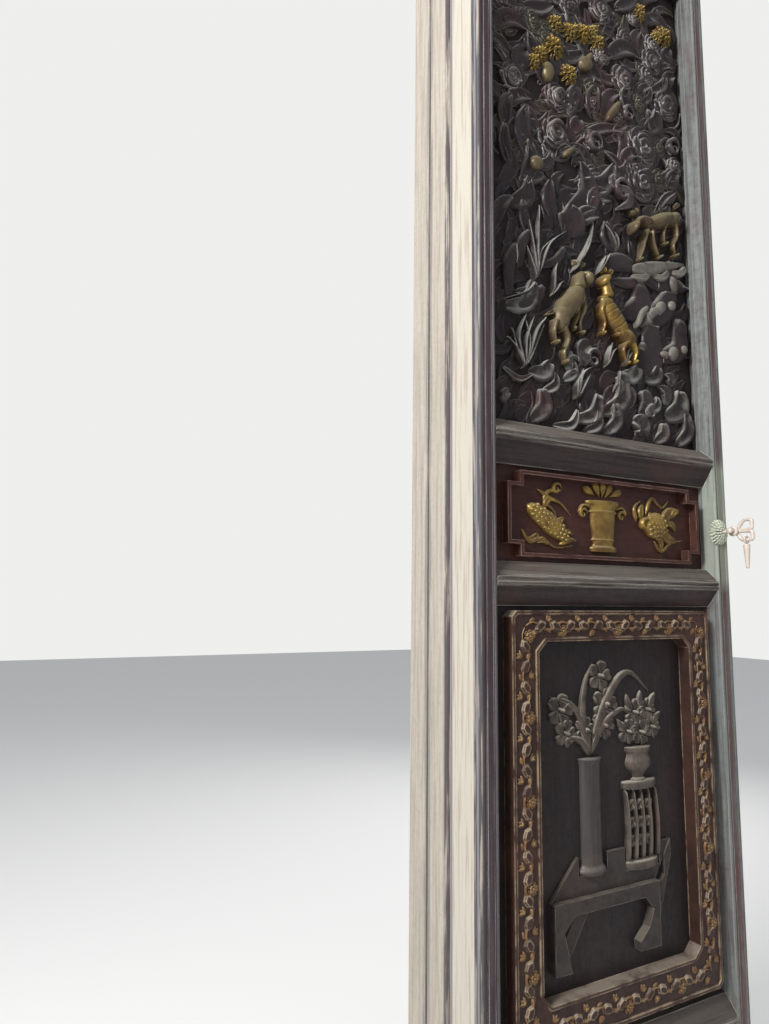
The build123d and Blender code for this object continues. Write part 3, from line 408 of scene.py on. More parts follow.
VINE = Finish(
    "border_vine_gilding", (118, 88, 58), (66, 45, 36), (92, 60, 44), (170, 148, 118), edge=(210, 180, 124),
    edge_wear_and_highlight_share=0.9, edge_radius=0.0014, stain_share=0.55, streak_share=0.6, roughness=0.45, metallic=0.15
)
# Painted light and shade: the parts of a carving nearest the face are lighter and its deep parts darker.
CROWN_PAINTED_LIGHT = Zone(0, -0.014, 0.02, (132, 125, 120), 0.5, 0.018)
DARK_CARVING = Finish(
    "dark_carving", (46, 38, 40), (28, 22, 25), (74, 44, 44), (186, 182, 174), edge=(188, 183, 176),
    edge_wear_and_highlight_share=1.0, edge_radius=0.003, dust_and_top_light_share=0.6, stain_share=0.5, roughness=0.32, zones=(CROWN_PAINTED_LIGHT,)
)
UNDERGROWTH = Finish(
    "undergrowth_shade", (36, 30, 32), (22, 18, 20), (62, 38, 40), (118, 112, 106), edge=(126, 120, 114),
    edge_wear_and_highlight_share=0.7, edge_radius=0.003, dust_and_top_light_share=0.4, stain_share=0.5, roughness=0.34
)
LEAF_GREEN = Finish(
    "dull_green_leaf", (52, 49, 40), (32, 29, 27), (66, 44, 40), (170, 168, 148), edge=(168, 166, 142),
    edge_wear_and_highlight_share=0.85, edge_radius=0.0022, dust_and_top_light_share=0.4, stain_share=0.5, roughness=0.36, zones=(CROWN_PAINTED_LIGHT,)
)
CARVING_SHADE = Finish(
    "carving_shade", (30, 25, 26), (40, 31, 31), (46, 30, 28), (64, 58, 54), dust_and_top_light_share=0.3, roughness=0.7
)
# Its zone is painted shade: the deep parts next to the ground are darker.
GILDING = Finish(
    "worn_gilding", (148, 122, 62), (86, 62, 38), (70, 44, 34), (206, 192, 146), edge=(240, 218, 134),
    edge_radius=0.0016, streak_share=0.8, stain_share=0.65, dust_and_top_light_share=0.45, roughness=0.36, metallic=0.4,
    zones=(Zone(0, -0.05, -0.030, (64, 42, 32), 0.7, 0.004),)
)
# Its zone is painted shade: the deep parts next to the ground are darker.
OLIVE_GILDING = Finish(
    "dull_gilding", (104, 92, 66), (62, 52, 44), (72, 47, 42), (186, 176, 140), edge=(220, 200, 134),
    edge_radius=0.0016, streak_share=0.7, stain_share=0.6, dust_and_top_light_share=0.5, roughness=0.4, metallic=0.25,
    zones=(Zone(0, -0.05, -0.034, (52, 40, 32), 0.7, 0.006),)
)
# Its zone is painted shade: the deep parts next to the ground are darker.
DUSTY = Finish(
    "dusty_carving", (90, 81, 73), (54, 47, 45), (74, 51, 46), (190, 182, 166), edge=(186, 176, 156),
    edge_wear_and_highlight_share=0.75, edge_radius=0.002, dust_and_top_light_share=0.6, stain_share=0.55, streak_share=0.7, roughness=0.5,
    zones=(Zone(0, -0.05, -0.0285, (46, 40, 38), 0.7, 0.003),)
)
# Its zone is painted shade: the lobes' deep parts next to the ground are darker.
ROCK_LOBE = Finish(
    "rock_lobe_carving", (100, 99, 94), (56, 50, 51), (90, 46, 46), (200, 200, 190), edge=(196, 194, 182),
    edge_wear_and_highlight_share=0.8, edge_radius=0.0025, dust_and_top_light_share=0.7, stain_share=0.6, streak_share=0.7, roughness=0.42,
    zones=(Zone(0, -0.05, -0.0285, (40, 34, 35), 0.8, 0.005),)
)
PALE_LOBE = Finish(
    "pale_lobe_carving", (112, 109, 101), (66, 60, 59), (96, 70, 66), (190, 188, 176), edge=(190, 188, 174),
    edge_wear_and_highlight_share=0.6, stain_share=0.45, streak_share=0.6, roughness=0.45
)
TABLE = Finish(
    "table_carving", (62, 55, 51), (40, 35, 34), (66, 50, 46), (150, 142, 128), edge=(150, 142, 130),
    edge_wear_and_highlight_share=0.75, edge_radius=0.002, stain_share=0.55, streak_share=0.7, roughness=0.5
)
VASE = Finish(
    "vase_carving", (70, 65, 63), (44, 41, 41), (96, 78, 66), (170, 166, 158), grain=Grain.UPRIGHT,
    edge=(176, 166, 150), stain_share=0.4, streak_share=0.6, roughness=0.45
)
PALE_METAL = Finish(
    "pale_metal", (186, 192, 170), (142, 150, 130), (150, 140, 128), (214, 216, 200), edge=(228, 228, 216),
    roughness=0.5, metallic=0.2
)
PALE_ROD = Finish(
    "pull_rod", (218, 208, 198), (186, 172, 154), (172, 158, 138), (230, 222, 212), roughness=0.5,
    metallic=0.15
)


class Outline(Enum):
    """How the width of a carved form runs from its foot to its tip."""

    OVAL = "oval"
    LEAF = "leaf"
    DROP = "drop"
    LIMB = "limb"
    BLADE = "blade"

    def width(self, along: np.ndarray) -> np.ndarray:
        """How wide a form is at each place along it.

        Args:
            along: the places, 0 at the foot and 1 at the tip.

        Returns:
            The shares of the full width.
        """
        if self is Outline.OVAL:
            return np.sqrt(np.clip(1 - (2 * along - 1) ** 2, 0.0, 1))
        if self is Outline.LEAF:  # widest at two fifths
            return np.clip(np.sin(np.pi * along**0.8), 0, 1) ** 0.8
        if self is Outline.DROP:  # widest at two thirds
            return np.clip(np.sin(np.pi * along**1.7), 0, 1) ** 0.7
        if self is Outline.LIMB:  # blunt at both ends, and half as wide at the tip as at the foot
            return (1 - 0.55 * along) * np.clip(np.minimum(along, 1 - along) * 12, 0, 1) ** 0.5
        # A blade is full soon after its foot and runs out in a long tip.
        return np.clip(np.minimum(along * 6, (1 - along) * 1.6), 0, 1) ** 0.8


@dataclass
class Carving:
    """Gathers carved forms on the leaf and makes one mesh of them.

    A form's places are (run, rise): run in from the hinge edge, rise up from the leaf's foot, and
    depth is measured behind the leaf's face.
    """

    name: str
    ground: float = BOARD_DEPTH
    seen_depth: float | None = None
    points: list[np.ndarray] = field(default_factory=list)
    faces: list[tuple[int, ...]] = field(default_factory=list)
    count: int = 0

    def _place(self, run: float, rise: float) -> Point:
        """Where a form seen on the face's plane really stands, when it lies at seen_depth behind it.

        Args:
            run: where it is seen across the leaf.
            rise: where it is seen up the leaf.

        Returns:
            Its own place.
        """
        if self.seen_depth is None:
            return run, rise
        back = self.seen_depth / CAMERA_PLACE[0]
        return run + back * (run - CAMERA_PLACE[1]), rise + back * (rise + LEAF_BOTTOM - CAMERA_PLACE[2])

    def _grid(self, points: np.ndarray, closed: bool = False) -> None:
        """Add a grid of points as quads.

        Args:
            points: rows by columns by (run, rise, depth).
            closed: whether the last column joins the first.
        """
        rows, columns, _ = points.shape
        flat = points.reshape(-1, 3)
        placed = np.column_stack((-flat[:, 2], flat[:, 0], flat[:, 1] + LEAF_BOTTOM)) * MM
        self.points.append(placed)
        reach = columns if closed else columns - 1
        for row in range(rows - 1):
            for column in range(reach):
                a = self.count + row * columns + column
                b = self.count + row * columns + (column + 1) % columns
                self.faces.append((a, b, b + columns, a + columns))
        self.count += rows * columns

    def strip(self, course: Iterable[Point], width: float, height: float, outline: Outline, cup: float = 0.0,
              ridge: float = 0.0, ribs: int = 0, curl: float = 0.0, lift: float = 0.0, rows: int = 14,
              columns: int = 9) -> None:
        """Carve a form along a smooth course, from its foot to its tip.

        Args:
            course: two or more places that the middle line passes.
            width: the full width.
            height: how far the crown stands off the ground.
            outline: how the width runs.
            cup: how far the middle is hollowed, as a share of the height.
            ridge: how far a vein stands along the middle, as a share of the height.
            ribs: how many grooves cross the form.
            curl: how far the tip rises over the foot, as a share of the height.
            lift: how far the whole form is raised.
            rows: steps along the form.
            columns: steps across it.
        """
        nodes = np.array([self._place(*spot) for spot in course], float)
        knots = np.linspace(0, 1, len(nodes))
        along = np.linspace(0, 1, rows)
        if len(nodes) > 2:
            middle = np.column_stack([_smooth(knots, nodes[:, k], along) for k in (0, 1)])
        else:
            middle = nodes[0] + along[:, None] * (nodes[1] - nodes[0])
        heading = np.gradient(middle, axis=0)
        heading /= np.linalg.norm(heading, axis=1)[:, None] + TINY
        side = np.column_stack((-heading[:, 1], heading[:, 0]))
        half = width / 2 * np.maximum(outline.width(along), TIP_WIDTH)
        across = np.sin(np.linspace(-np.pi / 2, np.pi / 2, columns))
        shape = np.sqrt(np.maximum(1 - across**2, 0)) ** (ROUNDNESS - HOLLOW_EDGE * cup)
        crown = shape * (1 - cup * (1 - across**2)) + ridge * np.exp(-((across / VEIN_WIDTH) ** 2))
        swell = np.clip(outline.width(along), TIP_HEIGHT, 1) ** 0.5 * (1 + curl * (along - 0.5))
        if ribs:
            swell = swell * (1 - RIB_DEPTH * np.clip(np.cos(along * ribs * 2 * np.pi), 0, 1) ** 6)
        stand = lift + height * swell[:, None] * crown[None, :]
        plan = middle[:, None, :] + side[:, None, :] * (half[:, None] * across[None, :])[..., None]
        grid = np.concatenate((plan, (self.ground - stand)[..., None]), axis=2)
        grid[:, 0, 2] = grid[:, -1, 2] = self.ground + RIM_SINK
        grid[0, :, 2] = grid[-1, :, 2] = self.ground + RIM_SINK
        self._grid(grid)

    def form(self, run: float, rise: float, length: float, width: float, turn: float, height: float,
             outline: Outline = Outline.LEAF, bow: float = 0.0, **looks: float) -> None:
        """Carve a form about a centre.

        Args:
            run: the centre's place across the leaf.
            rise: the centre's place up the leaf.
            length: from foot to tip.
            width: across.
            turn: the heading in degrees.
            height: how far it stands off the ground.
            outline: how the width runs.
            bow: how far the middle line bows sideways, as a share of the length.
            looks: what strip takes besides.
        """
        heading = np.array(around(0, 0, 1, turn))
        side = np.array((-heading[1], heading[0]))
        centre = np.array((run, rise))
        foot, tip = centre - heading * length / 2, centre + heading * length / 2
        course = [tuple(foot), tuple(tip)]
        if bow:
            course.insert(1, tuple(centre + side * bow * length))
        self.strip(course, width, height, outline, **looks)

    def forms(self, table: Iterable[tuple[float, ...]], height: float, outline: Outline = Outline.LEAF,
              **looks: float) -> None:
        """Carve forms from a table of run, rise, length, width, turn and, where there is one, bow."""
        for run, rise, length, width, turn, *bow in table:
            self.form(run, rise, length, width, turn, height, outline, *bow, **looks)

    def lobe(self, foot: Point, tip: Point, stretch: float, width: float, height: float, outline: Outline,
             bow: float, **looks: float) -> None:
        """Carve a form that lies from a foot to a tip.

        Args:
            foot: one end.
            tip: the other end.
            stretch: its length, as a share of the span between both.
            width: across.
            height: how far it stands off the ground.
            outline: how the width runs.
            bow: how far the middle line bows sideways, as a share of the length.
            looks: what strip takes besides.
        """
        turn = math.degrees(math.atan2(tip[1] - foot[1], tip[0] - foot[0]))
        self.form((foot[0] + tip[0]) / 2, (foot[1] + tip[1]) / 2, math.dist(foot, tip) * stretch, width, turn,
                  height, outline, bow, **looks)

    def flower(self, run: float, rise: float, radius: float, height: float, rings: tuple[int, ...] = (6, 5),
               narrow: float = 1.0, twist: float = 0.0) -> None:
        """Carve a flower of rings of petals, the inner rings higher, about a button.

        Args:
            run: the centre's place across the leaf.
            rise: the centre's place up the leaf.
            radius: the outer radius.
            height: how far the flower stands off the ground.
            rings: petals in each ring, the outer one first.
            narrow: a share of the petals' plain width.
            twist: degrees by which the petals lean out of the radius.
        """
        for ring, petals in enumerate(rings):
            reach = radius * (1 - ring / (len(rings) + HEART_ROOM))
            stand = height * (RING_HEIGHT + RING_GAIN * ring)
            for petal in range(petals):
                angle = 360 / petals * (petal + 0.5 * ring) + RING_TURN * ring
                spot = around(run, rise, PETAL_CENTRE * reach, angle)
                wide = narrow * PETAL_WIDTH * PETAL_CENTRE * reach * math.sin(math.pi / petals)
                self.form(*spot, reach * PETAL_LENGTH, wide, angle + twist, stand, Outline.DROP,
                          cup=PETAL_CUP, curl=PETAL_CURL, lift=RING_LIFT * ring, rows=9)
        button = radius * BUTTON_SIZE
        self.form(run, rise, button, button, 0, height * BUTTON_HEIGHT, Outline.OVAL, rows=8, columns=7)

    def rose(self, run: float, rise: float, radius: float, height: float, lean: float = 0.0) -> None:
        """Carve a rose of petals that wrap round its heart, the inner ones higher.

        Args:
            run: the centre's place across the leaf.
            rise: the centre's place up the leaf.
            radius: the outer radius.
            height: how far the heart stands off the ground.
            lean: degrees by which the first petal is turned.
        """
        for ring, (petals, share, stand) in enumerate(ROSE_RINGS):
            for petal in range(petals):
                start = math.radians(lean + 360 / petals * petal + ROSE_TURN * ring)
                sweep = 2 * math.pi / petals * ROSE_WRAP
                course = []
                for step in range(ROSE_STEPS + 1):
                    reach = radius * share * (1.0 - ROSE_INWARD * step / ROSE_STEPS)
                    angle = start + sweep * step / ROSE_STEPS
                    course.append((run + reach * math.cos(angle), rise + reach * math.sin(angle)))
                self.strip(course, radius * ROSE_WIDTH, height * stand, Outline.OVAL, cup=0.5)

    def spiral(self, run: float, rise: float, radius: float, height: float, turns: float,
               width: float) -> None:
        """Carve a curled scroll that winds in to its centre.

        Args:
            run: the centre's place across the leaf.
            rise: the centre's place up the leaf.
            radius: the outer radius.
            height: how far it stands off the ground.
            turns: how often it winds round.
            width: the scroll's own width.
        """
        steps = int(SCROLL_STEPS * turns)
        course = []
        for step in range(steps + 1):
            reach = radius * (1 - SCROLL_WIND * step / steps)
            angle = 2 * math.pi * turns * step / steps
            course.append((run + reach * math.cos(angle), rise + reach * math.sin(angle)))
        self.strip(course, width, height, Outline.BLADE, cup=0.3, rows=4 * steps, columns=6)

    def vessel(self, run: float, sections: tuple[Point, ...], squash: float, flutes: int = 0) -> None:
        """Carve one half of a turned vessel.

        Args:
            run: where its middle stands across the leaf.
            sections: (rise, radius) from foot to mouth.
            squash: how deep it is, as a share of its radius.
            flutes: how many hollows run up it.
        """
        knots = np.array(sections, float)
        along = np.linspace(0, 1, VESSEL_STEPS * len(sections))
        spots = np.linspace(0, 1, len(sections))
        rises = np.interp(along, spots, knots[:, 0])
        radii = _smooth(spots, knots[:, 1], along)
        turn = np.linspace(0, np.pi, VESSEL_SIDES)
        wave = 1 - (FLUTE_DEPTH * np.abs(np.sin(turn * flutes)) if flutes else 0 * turn)
        grid = np.empty((len(along) + 2, len(turn), 3))
        rises, radii = [rises[0], *rises, rises[-1]], [VESSEL_END, *radii, VESSEL_END]
        for row, (rise, radius) in enumerate(zip(rises, radii)):
            grid[row, :, 0] = run + radius * wave * np.cos(turn)
            grid[row, :, 1] = rise
            grid[row, :, 2] = self.ground + VESSEL_END - radius * squash * wave * np.sin(turn)
        self._grid(grid)

    def sheet(self, left: float, right: float, low: float, high: float, depth: float, swell: float) -> None:
        """Carve a restless ground between four edges.

        Args:
            left: inner edge across the leaf.
            right: outer edge across the leaf.
            low: lower edge.
            high: upper edge.
            depth: behind the face.
            swell: how far it rises and falls.
        """
        runs = np.linspace(left, right, int((right - left) / SHEET_STEP))
        rises = np.linspace(low, high, int((high - low) / SHEET_STEP))
        run, rise = np.meshgrid(runs, rises)
        wave = np.sin(run / 23 + np.sin(rise / 31)) * np.cos(rise / 27 + np.sin(run / 19))
        self._grid(np.dstack((run, rise, depth - swell * (wave + 1) / 2)))

    def planks(self, low: float, high: float, front: float, back: float, joints: tuple[float, ...],
               groove: float = 2.5) -> None:
        """Carve a closed board of upright planks with a groove at each joint on its back.

        Args:
            low: lower edge.
            high: upper edge.
            front: depth of its front.
            back: depth of its back.
            joints: the board's inner edge, the joints between planks and its outer edge.
            groove: half the width of a groove, and its depth.
        """
        outline = [(joints[0], back), (joints[0], front), (joints[-1], front), (joints[-1], back)]
        for joint in joints[-2:0:-1]:
            outline += [(joint + groove, back), (joint, back - groove), (joint - groove, back)]
        hub = [((joints[0] + joints[-1]) / 2, (front + back) / 2)] * len(outline)
        rows = ((hub, low), (outline, low), (outline, high), (hub, high))
        grid = np.array([[(run, rise, depth) for run, depth in loop] for loop, rise in rows])
        self._grid(grid, closed=True)

    def rod(self, course: np.ndarray, radius: float | np.ndarray, closed: bool = False,
            sides: int = 14) -> None:
        """Carve or forge a round rod along points in the leaf's (run, rise, depth).

        Args:
            course: the middle line's points.
            radius: one radius, or one for each point.
            closed: whether the rod is a ring.
            sides: facets round it.
        """
        count = len(course)
        radii = np.broadcast_to(radius, count)
        if closed:
            ahead = np.roll(course, -1, axis=0) - np.roll(course, 1, axis=0)
        else:
            ahead = np.gradient(course, axis=0)
        ahead = ahead / (np.linalg.norm(ahead, axis=1)[:, None] + TINY)
        normal = np.cross(ahead[0], ROD_ASIDE)
        turn = np.linspace(0, 2 * np.pi, sides, endpoint=False)
        grid = np.empty((count + (1 if closed else 2), sides, 3))
        rings = []
        for spot, way, size in zip(course, ahead, radii):
            normal = normal - way * np.dot(normal, way)
            normal = normal / (np.linalg.norm(normal) + TINY)
            other = np.cross(way, normal)
            rings.append(spot + size * (np.cos(turn)[:, None] * normal + np.sin(turn)[:, None] * other))
        if closed:
            shift = int(np.argmin([np.linalg.norm(rings[0][0] - point) for point in rings[-1]]))
            rings.append(np.roll(rings[0], shift, axis=0))
            grid[:] = rings
        else:
            grid[1:-1] = rings
            grid[0], grid[-1] = course[0], course[-1]
        self._grid(grid, closed=True)

    def piece(self, finish: Finish, slot: str, *nodes: str, body: str = "leaf",
              smooth: bool = True) -> bpy.types.Object:
        """Make the mesh, finish it and let it stand for its nodes.

        Args:
            finish: its finish.
            slot: the record's material slot; not used.
            nodes: the nodes that it replaces.
            body: the body that it rides on.
            smooth: whether its faces are shaded as one surface.

        Returns:
            The piece.
        """
        mesh = bpy.data.meshes.new(self.name)
        mesh.from_pydata(np.concatenate(self.points).tolist(), [], self.faces)
        mesh.validate()
        mesh.polygons.foreach_set("use_smooth", np.full(len(mesh.polygons), smooth))
        mesh.materials.append(finish.material())
        made = shown(self.name, mesh)
        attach(made, body)
        if nodes:
            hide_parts(*nodes)
        LOG.info("%s: %d faces", self.name, len(mesh.polygons))
        return made


def _smooth(knots: np.ndarray, values: np.ndarray, at: np.ndarray) -> np.ndarray:
    """Values of a smooth curve through knots.

    Args:
        knots: evenly rising places.
        values: the curve's values there.
        at: where it is wanted.

    Returns:
        The values there.
    """
    slopes = np.gradient(values, knots)
    index = np.clip(np.searchsorted(knots, at, side="right") - 1, 0, len(knots) - 2)
    gap = knots[index + 1] - knots[index]
    t = (at - knots[index]) / gap
    return ((2 * t**3 - 3 * t**2 + 1) * values[index] + (t**3 - 2 * t**2 + t) * gap * slopes[index]
            + (3 * t**2 - 2 * t**3) * values[index + 1] + (t**3 - t**2) * gap * slopes[index + 1])


@dataclass(frozen=True)
class Lamp:
    """A soft square lamp: where it hangs, what it points at, its side (all in metres) and its watts."""

    name: str
    place: Place
    aim: Place
    size: float
    watts: float

    def hang(self) -> None:
        """Hang the lamp."""
        data = bpy.data.lights.new(self.name, "AREA")
        data.size = self.size
        data.energy = self.watts
        made = shown(self.name, data)
        made.location = self.place
        made.rotation_mode = "QUATERNION"
        made.rotation_quaternion = (Vector(self.aim) - Vector(self.place)).to_track_quat("-Z", "Y")


@dataclass
class Studio:
    """Camera, lamps, floor and backdrop colour; angles in degrees, colours linear."""

    heading: float = 62.2
    pitch: float = 7.1
    roll: float = -0.7
    lens: float = 24.26
    sensor: float = 36.0
    clip_end: float = 100.0
    floor_half: float = 14.0
    floor_colour: Colour = (0.84, 0.83, 0.81)
    floor_roughness: float = 0.9
    sky_colour: Colour = (0.80, 0.82, 0.86)
    sky_strength: float = 0.6
    backdrop_colour: Colour = (0.86, 0.86, 0.85)
    lamps: tuple[Lamp, ...] = (
        Lamp("key_lamp", (1.0, -3.0, 3.3), (0.0, 0.3, 1.6), 0.9, 185.0),
        Lamp("fill_lamp", (2.6, -2.2, 0.9), (0.0, 0.3, 1.2), 2.2, 16.0),
        Lamp("back_lamp", (-2.6, 2.8, 3.0), (0.0, 0.2, 1.4), 2.6, 60.0)
    )

    def camera(self) -> None:
        """Place the camera where the photograph was taken from."""
        data = bpy.data.cameras.new("camera")
        data.sensor_fit = "VERTICAL"
        data.sensor_height = data.sensor_width = self.sensor
        data.lens = self.lens
        data.clip_end = self.clip_end
        made = shown("camera", data)
        turn = Matrix.Identity(4)
        for angle, axis in ((self.heading, "Z"), (self.pitch, "X"), (self.roll, "Y"), (90, "X")):
            turn = turn @ Matrix.Rotation(math.radians(angle), 4, axis)
        made.matrix_world = Matrix.Translation(Vector(CAMERA_PLACE) * MM) @ turn
        bpy.context.scene.camera = made

    def sky(self) -> None:
        """Light the scene from all sides, with a plain pale backdrop for the camera."""
        world = bpy.data.worlds.new("studio")
        bpy.context.scene.world = world
        world.use_nodes = True
        graph = Graph(world.node_tree)
        light = world.node_tree.nodes["Background"]
        graph.feed((*self.sky_colour, 1), light.inputs["Color"])
        graph.feed(self.sky_strength, light.inputs["Strength"])
        backdrop = graph.node("Background", Color=(*self.backdrop_colour, 1), Strength=1.0)
        mix = graph.node("MixShader")
        sources = (graph.node("LightPath").outputs["Is Camera Ray"], light.outputs[0], backdrop.outputs[0])
        for source, socket in zip(sources, mix.inputs):
            graph.feed(source, socket)
        graph.feed(mix.outputs[0], world.node_tree.nodes["World Output"].inputs["Surface"])

    def floor(self) -> None:
        """Lay a plain pale floor."""
        mesh = bpy.data.meshes.new("floor")
        far = self.floor_half
        mesh.from_pydata([(-far, -far, 0), (far, -far, 0), (far, far, 0), (-far, far, 0)], [], [(0, 1, 2, 3)])
        floor = shown("floor", mesh)
        paint = bpy.data.materials.new("floor_paint")
        paint.use_nodes = True
        shader = paint.node_tree.nodes["Principled BSDF"]
        shader.inputs["Base Color"].default_value = (*self.floor_colour, 1)
        shader.inputs["Roughness"].default_value = self.floor_roughness
        mesh.materials.append(paint)

    def build(self) -> None:
        """Set up the studio."""
        bpy.context.scene.view_settings.view_transform = "Standard"
        self.camera()
        for lamp in self.lamps:
            lamp.hang()
        self.sky()
        self.floor()


@dataclass
class Woodwork:
    """The solids that keep their shape and get a finish."""

    finishes: dict[str, Finish] = field(default_factory=lambda: {
        "sill_stone": STONE, "pale_wood": PALE_WOOD, "head_paint": HEAD_PAINT, "pivot_iron": IRON,
        "weathered_lacquer": LACQUER, "dark_board": DARK_BOARD, "red_brown_board": RED_BOARD,
        "red_brown_carving": RED_LINE, "dark_carving": DARK_CARVING, "worn_gilding": GILDING,
        "dusty_carving": DUSTY, "pale_metal": PALE_METAL,
    })

    def dress(self) -> None:
        """Give every solid the finish of its slot, and the rails one with level grain."""
        slots = {row["node"]: row["material_slot"] for row in frame["record"]["subparts"]}
        own = {"hinge_stile": HINGE_LACQUER, "free_stile": FREE_LACQUER, "carved_border": BORDER}
        for name, node in frame["nodes"].items():
            finish = RAIL_LACQUER if name.endswith("rail") else own.get(name, self.finishes[slots[name]])
            node.data.materials.clear()
            node.data.materials.append(finish.material())
            LOG.info("%s: %s", name, finish.name)


@dataclass
class Deer:
    """One deer of the upper panel, in places seen on the face's plane."""

    body: tuple[Point, ...]
    body_width: float
    neck: tuple[Point, ...]
    head: tuple[Point, ...]
    legs: tuple[tuple[Point, ...], ...]
    ears: tuple[Place, ...]
    ribs: int = 0
    haunch_back: float = 0.4
    haunch_length: float = 1.15
    haunch_width: float = 0.84
    haunch_lean: float = 24.0
    neck_width: float = 0.7
    head_width: float = 0.46
    leg_width: float = 0.3
    hoof_length: float = 0.22
    hoof_width: float = 0.16
    ear_length: float = 20.0
    ear_width: float = 8.0
    neck_height: float = 1.02
    head_height: float = 1.1
    leg_height: float = 0.86
    hoof_height: float = 0.9
    ear_height: float = 1.12

    def carve(self, into: Carving, height: float) -> None:
        """Carve the deer: trunk, haunch, neck, head, legs and ears.

        Args:
            into: the carving it belongs to.
            height: how far its trunk stands off the ground.
        """
        width = self.body_width
        into.strip(self.body, width, height, Outline.OVAL, ribs=self.ribs, rows=90, columns=15)
        rump = self.body[-1]
        towards = (self.body[-2][0] - rump[0], self.body[-2][1] - rump[1])
        reach = math.hypot(*towards)
        haunch = [rump[k] + towards[k] / reach * width * self.haunch_back for k in (0, 1)]
        into.form(*haunch, width * self.haunch_length, width * self.haunch_width,
                  math.degrees(math.atan2(towards[1], towards[0])) + self.haunch_lean, height, Outline.OVAL,
                  rows=18, columns=13)
        into.strip(self.neck, width * self.neck_width, height * self.neck_height, Outline.LIMB, rows=20,
                   columns=13)
        into.strip(self.head, width * self.head_width, height * self.head_height, Outline.DROP, rows=18,
                   columns=11)
        for leg in self.legs:
            into.strip(leg, width * self.leg_width, height * self.leg_height, Outline.LIMB, rows=18)
            into.form(*leg[-1], width * self.hoof_length, width * self.hoof_width, -90,
                      height * self.hoof_height, Outline.OVAL, rows=8, columns=7)
        for run, rise, turn in self.ears:
            into.form(run, rise, self.ear_length, self.ear_width, turn, height * self.ear_height,
                      Outline.LEAF, cup=0.6, rows=8, columns=7)


